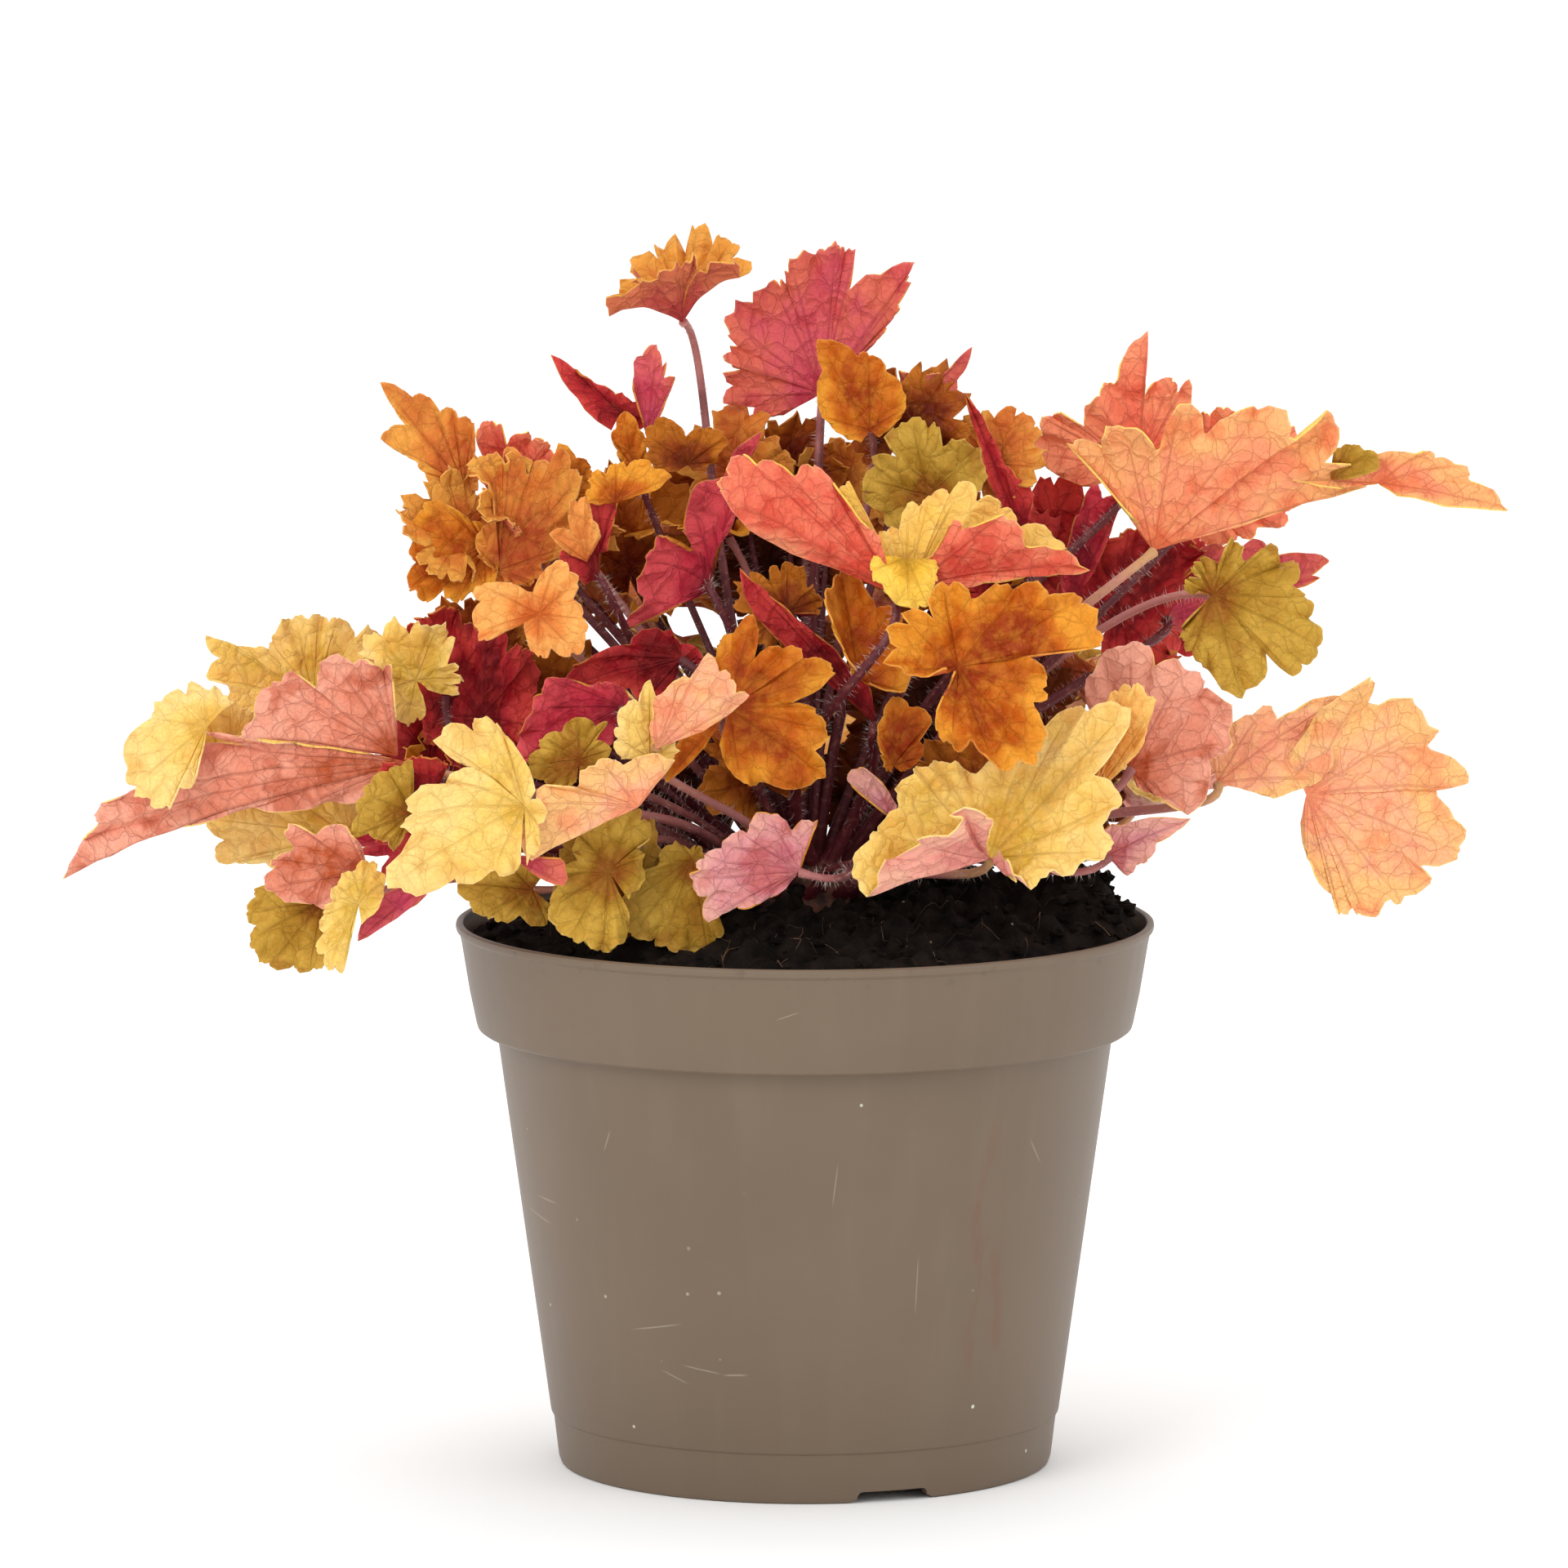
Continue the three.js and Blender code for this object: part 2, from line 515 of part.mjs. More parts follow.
// ---------------------------------------------------------------- crown and stalks
// One living piece: the woody crown, with every leaf stalk growing out of it. A stalk takes the first of a few
// routes that keeps it clear of the other leaves, the soil and the pot, and ends flat under its blade.
function tube({ points, frame }, extra) {
  const sides = STALK.sides;
  const rings = points.map((point, i) => {
    const radius = THREE.MathUtils.lerp(STALK.foot, STALK.tip, i / STALK.steps) + extra;
    let across = frame.side;
    let other = frame.along.clone().negate();
    if (i < STALK.steps) {
      const ahead = points[i + 1].clone().sub(points[Math.max(0, i - 1)]).normalize();
      across = across.clone().addScaledVector(ahead, -across.dot(ahead)).normalize();
      other = ahead.cross(across);
    }
    return Array.from({ length: sides }, (_, j) => {
      const turn = (2 * Math.PI * j) / sides;
      return point.clone().addScaledVector(between(across, other, turn), radius);
    });
  });
  const positions = rings.flat().flatMap((point) => point.toArray());
  const faces = [];
  const last = (points.length - 1) * sides;
  for (let j = 0; j < sides; j++) {
    const next = (j + 1) % sides;
    for (let i = 0; i < rings.length - 1; i++) {
      const [a, b] = [i * sides, (i + 1) * sides];
      faces.push(a + j, a + next, b + next, a + j, b + next, b + j);
    }
    if (j > 0 && j < sides - 1) faces.push(0, j + 1, j, last, last + j, last + j + 1);
  }
  return facingOut(solidOf(meshOf(positions, faces)));
}

const STALK_ROUTES = [0, 1, -1, 2, -2, 3, -3].flatMap((sway) =>
  [0.4, 0.15, 0.7].flatMap((climb) => [0.16, 0, 0.3].map((behind) => ({ sway, climb, behind }))),
);

// A stalk leaves the crown towards its blade, bows on the way, and stops a hair short of the blade.
function stalkPath(blade, { sway, climb, behind }) {
  const frame = bladeFrame(blade);
  const middle = new THREE.Vector3(0, 0, CROWN.middle);
  const seat = frame.at.clone().addScaledVector(frame.up, -(BLADE_THICKNESS / 2 + GAP));
  const outward = seat.clone().sub(middle).normalize();
  const root = middle.clone().addScaledVector(outward, 0.75 * CROWN.radius);
  const length = root.distanceTo(seat);
  const sideways = new THREE.Vector3(-outward.y, outward.x, 0).normalize();
  const bow = root.clone().addScaledVector(outward, 0.35 * length);
  bow.addScaledVector(sideways, 0.11 * sway * length).add(new THREE.Vector3(0, 0, 0.35 * climb * length));
  const arrive = seat.clone().addScaledVector(frame.along, -behind * length);
  arrive.addScaledVector(frame.up, -0.2 * length);
  return { points: new THREE.CubicBezierCurve3(root, bow, arrive, seat).getPoints(STALK.steps), frame };
}

function crownSolid() {
  const profile = [
    [0, CROWN.base],
    [CROWN.radius * 0.7, CROWN.base],
    [CROWN.radius, CROWN.middle - 3],
    [CROWN.radius, CROWN.middle + 1],
    [CROWN.radius * 0.7, CROWN.top - 3],
    [0, CROWN.top],
  ];
  return turned(profile, 12);
}

function boxesMeet(a, b) {
  return a.min.every((low, k) => low <= b.max[k] && b.min[k] <= a.max[k]);
}

function common(a, b) {
  return boxesMeet(a.boundingBox(), b.boundingBox()) ? Math.abs(a.intersect(b).volume()) : 0;
}

function largestBody(solid) {
  return solid.decompose().reduce((best, one) => (one.volume() > best.volume() ? one : best));
}

// The blades of one leaf as one solid, with any pocket that they close in filled.
function fused({ name, blades }) {
  const solids = blades.map((blade) => bladeSolid(blade, BLADE_THICKNESS));
  const whole = solids.reduce((sum, solid) => sum.add(solid));
  const bodies = whole.decompose().filter((body) => body.volume() > 1);
  if (bodies.length > 1) throw new Error(name + " is in pieces");
  return bodies[0];
}

const pot = potSolid();
const crownHole = new THREE.CylinderGeometry(CROWN.radius + GAP, CROWN.radius + GAP, 40, 12);
crownHole.rotateX(Math.PI / 2).translate(0, 0, CROWN.base - GAP + 20);
const soil = soilSolid().subtract(solidOf(crownHole));
const blades = LEAVES.map(fused);

let crown = crownSolid();
LEAVES.forEach((one, i) => {
  const obstacles = [pot, soil, ...blades.filter((_, j) => j !== i)];
  const costs = STALK_ROUTES.map((route) => {
    const path = stalkPath(one.blades[0], route);
    const around = tube(path, GAP);
    const crossed = obstacles.reduce((sum, obstacle) => sum + common(around, obstacle), 0);
    return crossed + common(tube(path, SKIN), blades[i]);
  });
  const best = costs.findIndex((cost) => cost <= Math.min(...costs) + 1e-6);
  const path = stalkPath(one.blades[0], STALK_ROUTES[best]);
  crown = crown.add(tube(path, 0));
  const around = tube(path, GAP);
  blades.forEach((blade, j) => {
    const inTheWay = common(j === i ? tube(path, SKIN) : around, blade);
    if (inTheWay > 0) blades[j] = largestBody(blade.subtract(around));
  });
});

// ---------------------------------------------------------------- the group
const COLOURS = {
  pot: 0x857765, soil: 0x17110e, stalk: 0x7a3b3a,
  gold: 0xf2c862, amber: 0xd9821c, olive: 0xb89a2a, russet: 0xa8561e, peach: 0xf2a878,
  coral: 0xe0603f, rose: 0xd0606a, magenta: 0xb02a4c, crimson: 0x931a26,
};

const plant = new THREE.Group();
plant.name = "heuchera_plant";

function addPiece(name, solid, tint, roughness) {
  const material = new THREE.MeshStandardMaterial({ color: COLOURS[tint], roughness, metalness: 0 });
  const mesh = new THREE.Mesh(geometryOf(solid), material);
  mesh.name = name;
  plant.add(mesh);
}

addPiece("pot", pot, "pot", 0.45);
addPiece("soil", soil, "soil", 0.95);
addPiece("crown_and_stalks", crown, "stalk", 0.6);
LEAVES.forEach(({ name, tint }, i) => addPiece("leaf_" + name, blades[i], tint, 0.5));

export default plant;
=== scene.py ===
import math
import random

import bmesh
import bpy
import numpy as np
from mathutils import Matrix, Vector, kdtree, noise


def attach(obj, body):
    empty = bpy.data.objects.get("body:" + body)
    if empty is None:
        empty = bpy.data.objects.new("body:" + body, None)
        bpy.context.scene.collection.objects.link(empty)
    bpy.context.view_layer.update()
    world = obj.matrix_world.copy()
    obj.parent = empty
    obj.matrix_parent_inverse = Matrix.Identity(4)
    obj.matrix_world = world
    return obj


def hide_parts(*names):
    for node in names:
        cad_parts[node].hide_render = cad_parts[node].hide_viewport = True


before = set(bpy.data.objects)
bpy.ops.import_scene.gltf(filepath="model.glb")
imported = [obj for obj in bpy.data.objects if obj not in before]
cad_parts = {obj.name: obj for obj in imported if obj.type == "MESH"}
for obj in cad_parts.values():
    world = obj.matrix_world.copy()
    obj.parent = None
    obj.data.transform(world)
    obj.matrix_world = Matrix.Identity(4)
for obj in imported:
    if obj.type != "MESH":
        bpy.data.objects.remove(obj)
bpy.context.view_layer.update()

# ---------------------------------------------------------------- the studio
# A wide pale sheet under the pot, a bright even surround, a large soft light from the front left, a weaker
# one from the right and one from above and behind. The camera looks slightly down through a long lens.
bpy.context.scene.view_settings.view_transform = "Standard"


def linear(red, green, blue):
    """A colour as it looks on a screen, made linear for a shader."""
    return tuple(((c + 0.055) / 1.055) ** 2.4 if c > 0.04 else c / 12.92 for c in (red, green, blue)) + (1.0,)


class Field:
    """One output in a finish's node tree. Arithmetic on it adds Math nodes."""

    def __init__(self, finish, socket):
        self.finish = finish
        self.socket = socket

    def math(self, operation, *values):
        return self.finish.node("ShaderNodeMath", {"operation": operation}, dict(enumerate(values)))

    def __add__(self, other):
        return self.math("ADD", self, other)

    def __radd__(self, other):
        return self.math("ADD", other, self)

    def __sub__(self, other):
        return self.math("SUBTRACT", self, other)

    def __mul__(self, other):
        return self.math("MULTIPLY", self, other)

    def __rmul__(self, other):
        return self.math("MULTIPLY", other, self)

    def __truediv__(self, other):
        return self.math("DIVIDE", self, other)

    def __abs__(self):
        return self.math("ABSOLUTE", self)

    def larger(self, other):
        return self.math("MAXIMUM", self, other)

    def smaller(self, other):
        return self.math("MINIMUM", self, other)

    def fraction(self):
        return self.math("FRACT", self)

    def root(self):
        return self.math("SQRT", self)

    def rise(self, low, high):
        """0 below low, 1 above high, smooth in between; with high below low it falls instead."""
        inputs = {"Value": self, "From Min": low, "From Max": high}
        return self.finish.node("ShaderNodeMapRange", {"interpolation_type": "SMOOTHSTEP"}, inputs)


class Finish:
    """A procedural material with one Principled shader."""

    def __init__(self, name, **constants):
        self.material = bpy.data.materials.new(name)
        self.material.use_nodes = True
        self.tree = self.material.node_tree
        self.shader = self.tree.nodes["Principled BSDF"]
        for label, value in constants.items():
            self.shader.inputs[label.replace("_", " ")].default_value = value

    def node(self, kind, settings=None, inputs=None, output=0):
        made = self.tree.nodes.new(kind)
        for label, value in (settings or {}).items():
            setattr(made, label, value)
        for label, value in (inputs or {}).items():
            if isinstance(value, Field):
                self.tree.links.new(value.socket, made.inputs[label])
            else:
                made.inputs[label].default_value = value
        return Field(self, made.outputs[output])

    def place(self):
        return self.node("ShaderNodeTexCoord", output="Object")

    def axes(self, vector):
        split = self.node("ShaderNodeSeparateXYZ", inputs={"Vector": vector}).socket.node
        return [Field(self, split.outputs[label]) for label in "XYZ"]

    def attribute(self, name):
        return self.node("ShaderNodeAttribute", {"attribute_name": name}, output="Vector")

    def stretch(self, vector, *scale):
        return self.node("ShaderNodeVectorMath", {"operation": "MULTIPLY"}, {0: vector, 1: scale})

    def shift(self, vector, other):
        return self.node("ShaderNodeVectorMath", {"operation": "ADD"}, {0: vector, 1: other})

    def noise(self, vector, scale, detail=3.0, rough=0.55, output="Fac"):
        inputs = {"Vector": vector, "Scale": scale, "Detail": detail, "Roughness": rough}
        return self.node("ShaderNodeTexNoise", inputs=inputs, output=output)

    def cells(self, vector, scale, feature="F1", flat=False, output="Distance"):
        settings = {"feature": feature, "voronoi_dimensions": "2D" if flat else "3D"}
        return self.node("ShaderNodeTexVoronoi", settings, {"Vector": vector, "Scale": scale}, output)

    def mix(self, share, first, second):
        return self.node("ShaderNodeMix", {"data_type": "RGBA"}, {0: share, 6: first, 7: second}, 2)

    def use(self, label, value):
        self.tree.links.new(value.socket, self.shader.inputs[label])

    def bump(self, height, distance, strength=1.0):
        inputs = {"Height": height, "Distance": distance, "Strength": strength}
        self.use("Normal", self.node("ShaderNodeBump", inputs=inputs))


sheet = Finish("pale_sheet", Roughness=0.9)
clean, dusty = linear(0.998, 0.998, 0.998), linear(0.992, 0.992, 0.992)
sheet.use("Base Color", sheet.mix(sheet.noise(sheet.place(), 0.7), clean, dusty))
bpy.ops.mesh.primitive_plane_add(size=20)
floor = bpy.context.active_object
floor.name = "floor"
floor.data.materials.append(sheet.material)

world = bpy.data.worlds.new("studio_air")
world.use_nodes = True
world.node_tree.nodes["Background"].inputs["Color"].default_value = (1.0, 1.0, 1.0, 1.0)
world.node_tree.nodes["Background"].inputs["Strength"].default_value = 1.0
bpy.context.scene.world = world

AIM = Vector((0, 0, 0.11))
for name, place, size, watts in [
    ("key_light", (-1.3, -1.9, 1.5), 1.3, 22),
    ("fill_light", (1.9, -1.1, 0.8), 1.0, 6),
    ("top_light", (0.2, 1.0, 2.2), 1.4, 10),
]:
    bpy.ops.object.light_add(type="AREA", location=place)
    lamp = bpy.context.active_object
    lamp.name = name
    lamp.data.size = size
    lamp.data.energy = watts
    lamp.rotation_euler = (AIM - Vector(place)).to_track_quat("-Z", "Y").to_euler()

CAMERA_PLACE = (-0.0036, -2.0, 0.381)
CAMERA_DIP = 7.506
bpy.ops.object.camera_add(location=CAMERA_PLACE, rotation=(math.radians(90 - CAMERA_DIP), 0, 0))
camera = bpy.context.active_object
camera.data.sensor_width = 36
camera.data.lens = 270
bpy.context.scene.camera = camera

# ---------------------------------------------------------------- the pot
# A thin injection-moulded nursery pot: a tapered body with a foot band, a tall collar that the pots nest by,
# and a small rolled lip. Three notches in the foot and six holes in the floor's lifted ring let water out.
POT_SIDES = 160
FLOOR_RING = (22.3, 3.0)
MIDDLE_DISC = [(21.9, 2.6), (20.5, 0.3), (19.9, 0.0)]
POT_PROFILE = [
    # out under the floor's lifted ring, down to the foot and round it
    (38.9, 3.0), (39.4, 2.7), (40.1, 0.3), (40.5, 0.0), (41.7, 0.0), (42.15, 0.25), (42.5, 1.2),
    # up the foot band, the body and the collar
    (43.35, 8.3), (43.4, 8.6), (43.75, 8.95), (43.85, 9.3), (48.4, 42.0), (52.85, 74.2), (53.1, 74.9),
    (53.6, 75.3), (54.8, 75.4), (55.7, 75.5), (56.25, 75.9), (56.5, 76.7), (57.6, 82.0), (59.0, 90.6),
    # over the lip
    (59.35, 92.2), (59.85, 92.7), (60.0, 93.2), (59.9, 93.75), (59.5, 94.0), (59.0, 94.0), (58.75, 93.8),
    # down the inside and over the floor to its middle
    (58.6, 93.2), (55.3, 77.4), (54.9, 76.8), (52.2, 76.3), (51.7, 75.4), (41.1, 5.2), (40.6, 4.5),
    (39.9, 4.3), (22.0, 4.3), (21.4, 4.1), (19.7, 1.6), (19.2, 1.3),
]
NOTCH_TURN = -69.4
NOTCH_SIZE, NOTCH_ROUNDING = (0.012, 0.017, 0.004), 0.0012
NOTCH_TOP, NOTCH_BOTTOM = 0.75, 1.1
NOTCH_FROM_AXIS = 0.041
HOLE_RADIUS, HOLE_DEPTH = 0.004, 0.006
HOLE_FROM_AXIS, HOLE_HEIGHT = 0.030, 0.0035


def select_only(*pieces):
    """Selects these pieces and no others, and makes the first one active."""
    bpy.ops.object.select_all(action="DESELECT")
    for piece in pieces:
        piece.select_set(True)
    bpy.context.view_layer.objects.active = pieces[0] if pieces else None


def open_ring(name, sides, ring):
    """A new piece in edit mode, so far one ring of the given (radius, height), in mm."""
    select_only()
    bpy.ops.mesh.primitive_circle_add(vertices=sides, radius=ring[0] / 1000, location=(0, 0, ring[1] / 1000))
    piece = bpy.context.active_object
    piece.name = name
    bpy.ops.object.transform_apply(location=True)
    bpy.ops.object.mode_set(mode="EDIT")
    return piece


def shape_rings(profile, ring):
    """In edit mode, with one ring selected: extrudes it to each (radius, height) of a profile in mm."""
    radius, height = ring
    for next_radius, next_height in profile:
        step = (0, 0, (next_height - height) / 1000)
        bpy.ops.mesh.extrude_region_move(TRANSFORM_OT_translate={"value": step})
        factor = next_radius / radius
        bpy.ops.transform.resize(value=(factor, factor, 1), center_override=(0, 0, next_height / 1000))
        radius, height = next_radius, next_height


pot = open_ring("nursery_pot", POT_SIDES, FLOOR_RING)
shape_rings(POT_PROFILE, FLOOR_RING)
bpy.ops.mesh.edge_face_add()
bpy.ops.mesh.select_all(action="DESELECT")
bpy.ops.object.mode_set(mode="OBJECT")
for edge in pot.data.edges:
    ends = [pot.data.vertices[i].co * 1000 for i in edge.vertices]
    edge.select = all(math.dist((end.xy.length, end.z), FLOOR_RING) < 0.01 for end in ends)
bpy.ops.object.mode_set(mode="EDIT")
bpy.ops.mesh.select_mode(type="EDGE")
shape_rings(MIDDLE_DISC, FLOOR_RING)
bpy.ops.mesh.edge_face_add()
bpy.ops.mesh.select_all(action="SELECT")
bpy.ops.mesh.remove_doubles(threshold=1e-6)
bpy.ops.mesh.normals_make_consistent(inside=False)
bpy.ops.object.mode_set(mode="OBJECT")


def cut_away(piece, cutter):
    """Cuts one solid out of another and deletes the cutter."""
    cut = piece.modifiers.new("cut", "BOOLEAN")
    cut.operation = "DIFFERENCE"
    cut.solver = "EXACT"
    cut.object = cutter
    select_only(piece)
    bpy.ops.object.modifier_apply(modifier=cut.name)
    bpy.data.objects.remove(cutter)


for i in range(3):
    turn = math.radians(NOTCH_TURN + 120 * i)
    select_only()
    bpy.ops.mesh.primitive_cube_add(size=1)
    notch = bpy.context.active_object
    notch.scale = NOTCH_SIZE
    bpy.ops.object.transform_apply(scale=True)
    bpy.ops.object.mode_set(mode="EDIT")
    bpy.ops.mesh.select_all(action="SELECT")
    bpy.ops.mesh.bevel(offset=NOTCH_ROUNDING, segments=3, affect="EDGES")
    bpy.ops.object.mode_set(mode="OBJECT")
    for corner in notch.data.vertices:
        corner.co.y *= NOTCH_TOP if corner.co.z > 0 else NOTCH_BOTTOM
    notch.rotation_euler = (0, 0, turn)
    notch.location = (NOTCH_FROM_AXIS * math.cos(turn), NOTCH_FROM_AXIS * math.sin(turn), 0)
    cut_away(pot, notch)
for i in range(6):
    turn = math.radians(NOTCH_TURN + 60 * i)
    select_only()
    place = (HOLE_FROM_AXIS * math.cos(turn), HOLE_FROM_AXIS * math.sin(turn), HOLE_HEIGHT)
    bpy.ops.mesh.primitive_cylinder_add(vertices=32, radius=HOLE_RADIUS, depth=HOLE_DEPTH, location=place)
    cut_away(pot, bpy.context.active_object)
select_only(pot)
bpy.ops.object.shade_smooth_by_angle(angle=math.radians(28))

plastic = Finish("taupe_plastic", Specular_IOR_Level=0.42)
spot = plastic.place()
x, y, z = plastic.axes(spot)
facing = y.rise(0.002, -0.004)
cloudy = plastic.noise(spot, 22, 4.0)
drawn = plastic.noise(plastic.stretch(spot, 1.0, 1.0, 0.12), 160, 3.0)
tone = plastic.mix(cloudy.rise(0.3, 0.7), linear(0.412, 0.345, 0.276), linear(0.431, 0.363, 0.292))
tone = plastic.mix(drawn.rise(0.45, 0.8) * 0.35, tone, linear(0.462, 0.396, 0.326))
streak = plastic.noise(plastic.stretch(spot, 1.0, 1.0, 0.25), 260, 5.0)
stain = x.rise(0.0255, 0.0285) * x.rise(0.0350, 0.0315) * z.rise(0.016, 0.026) * z.rise(0.071, 0.056) * facing
tone = plastic.mix(stain * streak.rise(0.46, 0.68) * 0.5, tone, linear(0.44, 0.28, 0.21))


def scratch(at_x, at_z, turn, length, width):
    """A thin pale line on the front of the pot, tapering off at its ends."""
    along = (x - at_x) * math.cos(turn) + (z - at_z) * math.sin(turn)
    across = (z - at_z) * math.cos(turn) - (x - at_x) * math.sin(turn)
    return abs(across).rise(width, 0.2 * width) * abs(along).rise(0.5 * length, 0.15 * length) * facing


scratches = scratch(-0.0252, 0.0300, 0.22, 0.010, 0.00022)
for mark in [
    (-0.0175, 0.0232, -0.16, 0.008, 0.00018), (-0.0220, 0.0215, -0.42, 0.006, 0.00016),
    (-0.0118, 0.0226, 0.05, 0.005, 0.00025), (-0.0455, 0.0455, -0.30, 0.006, 0.00030),
    (-0.0440, 0.0490, -0.10, 0.004, 0.00030), (0.0050, 0.0560, 1.45, 0.009, 0.00016),
    (-0.0335, 0.0618, 1.30, 0.005, 0.00016), (0.0188, 0.0380, 1.52, 0.012, 0.00015),
    (-0.0030, 0.0860, 0.35, 0.005, 0.00015), (0.0390, 0.0590, -1.2, 0.006, 0.00018),
]:
    scratches = scratches.larger(scratch(*mark))
tone = plastic.mix(z.rise(0.030, 0.002) * 0.45, tone, linear(0.375, 0.310, 0.245))
tone = plastic.mix(scratches * 0.55, tone, linear(0.62, 0.57, 0.50))
pick = plastic.axes(plastic.cells(spot, 210, output="Color"))[0]
picked = pick.rise(0.965, 0.975) + pick.rise(0.80, 0.82) * z.rise(0.060, 0.012)
specks = plastic.cells(spot, 210).rise(0.085, 0.05) * picked
tone = plastic.mix(specks * 0.8, tone, linear(0.80, 0.78, 0.73))
# Dirt specks on top of the lip, and painted shade: a thin band inside the lip, just above the soil, is
# darkened.
dirt = plastic.noise(spot, 420, 3.0).rise(0.60, 0.72) * z.rise(0.0885, 0.0938)
from_axis = (y * y + x * x).root()
painted_lip_shade = from_axis.rise(0.0590, 0.0586) * z.rise(0.0925, 0.0932)
tone = plastic.mix((dirt * 0.25 + painted_lip_shade * 0.45).smaller(1.0), tone, linear(0.13, 0.10, 0.08))
plastic.use("Base Color", tone)
plastic.use("Roughness", 0.36 + 0.10 * cloudy + 0.12 * drawn + scratches * 0.2)
moulding = plastic.noise(plastic.stretch(spot, 1.0, 1.0, 8.0), 90, 2.0)
plastic.bump(moulding * 0.5 + drawn * 0.5 - scratches * 0.6, 0.00012, 0.55)
pot.data.materials.append(plastic.material)
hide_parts("pot")
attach(pot, "root")

# ---------------------------------------------------------------- the soil
# Dark peat with bark and root fibre, filled in to just under the rim and mounded round the plant. Its top is
# broken into crumbs, some of them loose, and pale root hairs and flecks lie in it.
SOIL_RADIUS = 57.6
SOIL_SIDES = 168
SOIL_RINGS = 52
SOIL_FOOT = (22.5, 4.8)
SOIL_PROFILE = [(40.2, 4.8), (40.6, 5.6), (51.0, 75.6), (54.4, 77.6), (SOIL_RADIUS, 88.8)]
INSIDE_RADIUS = 58.7
SOIL_EDGE, MOUND_RISE, SLOPE_RISE = 90.5, 7, 4.5
HEAP_RISE, HEAP_PLACE, HEAP_SPREAD = 6.5, (49, -4), (8, 13)
CRUMBS, CRUMB_KINDS = 620, 6
FIBRES = 60


def soil_height(x, y):
    """Height of the soil's top in mm, as in the solid, with finer crumbs and a small heap by the rim."""
    from_axis = min(1.0, math.hypot(x, y) / INSIDE_RADIUS)
    sloped = SLOPE_RISE * max(0.0, (x + 0.5 * y) / 60) * (1 - from_axis**6)
    crumbs = math.sin(0.61 * x + 1.3) * math.sin(0.53 * y) + 0.6 * math.sin(1.21 * x - 0.9 * y)
    height = SOIL_EDGE + MOUND_RISE * (1 - from_axis**3) + sloped + 1.5 * crumbs * (1 - from_axis**4)
    from_heap = ((x - HEAP_PLACE[0]) / HEAP_SPREAD[0]) ** 2 + ((y - HEAP_PLACE[1]) / HEAP_SPREAD[1]) ** 2
    height += HEAP_RISE * math.exp(-from_heap) * (1 - from_axis**16)
    lumps = noise.fractal(Vector((x, y, 0)) / 5.5, 0.9, 2.1, 4)
    grit = noise.fractal(Vector((x, y, 7)) / 1.7, 0.8, 2.2, 3)
    return height + (2.4 * lumps + 1.1 * grit) * (1.05 - from_axis**10)


soil = open_ring("peat", SOIL_SIDES, SOIL_FOOT)
bpy.ops.mesh.select_mode(type="EDGE")
bpy.ops.mesh.select_all(action="SELECT")
shape_rings(SOIL_PROFILE, SOIL_FOOT)
bpy.ops.mesh.edge_face_add()
bpy.ops.mesh.select_mode(type="FACE")
for ring in range(SOIL_RINGS):
    bpy.ops.mesh.inset(thickness=SOIL_RADIUS / 1000 / (SOIL_RINGS + 1))
bpy.ops.mesh.poke()
bpy.ops.mesh.select_all(action="SELECT")
bpy.ops.mesh.normals_make_consistent(inside=False)
bpy.ops.object.mode_set(mode="OBJECT")
for corner in soil.data.vertices:
    if corner.co.z * 1000 > SOIL_PROFILE[-1][1] - 0.5:
        corner.co.z = soil_height(corner.co.x * 1000, corner.co.y * 1000) / 1000
bpy.ops.object.shade_smooth()

peat = Finish("peat_mix", Roughness=0.95, Specular_IOR_Level=0.08)
spot = peat.place()
clump = peat.noise(spot, 260, 5.0)
grain = peat.noise(spot, 1500, 4.0, 0.7)
tone = peat.mix(clump.rise(0.35, 0.68), (0.0046, 0.0034, 0.0028, 1), (0.0165, 0.0112, 0.0085, 1))
tone = peat.mix(grain.rise(0.55, 0.75) * 0.30, tone, (0.045, 0.027, 0.018, 1))
picked = peat.axes(peat.cells(spot, 520, output="Color"))[1].rise(0.93, 0.95)
flecks = peat.cells(spot, 520).rise(0.16, 0.08) * picked
tone = peat.mix(flecks * 0.8, tone, linear(0.66, 0.58, 0.46))
peat.use("Base Color", tone)
peat.bump(clump * 0.6 + grain * 0.6, 0.0009, 0.9)
soil.data.materials.append(peat.material)


def mesh_piece(name, points, faces):
    """A new piece from its points, in metres, and its faces."""
    piece = bpy.data.objects.new(name, bpy.data.meshes.new(name))
    piece.data.from_pydata(points, [], faces)
    bpy.context.collection.objects.link(piece)
    return piece


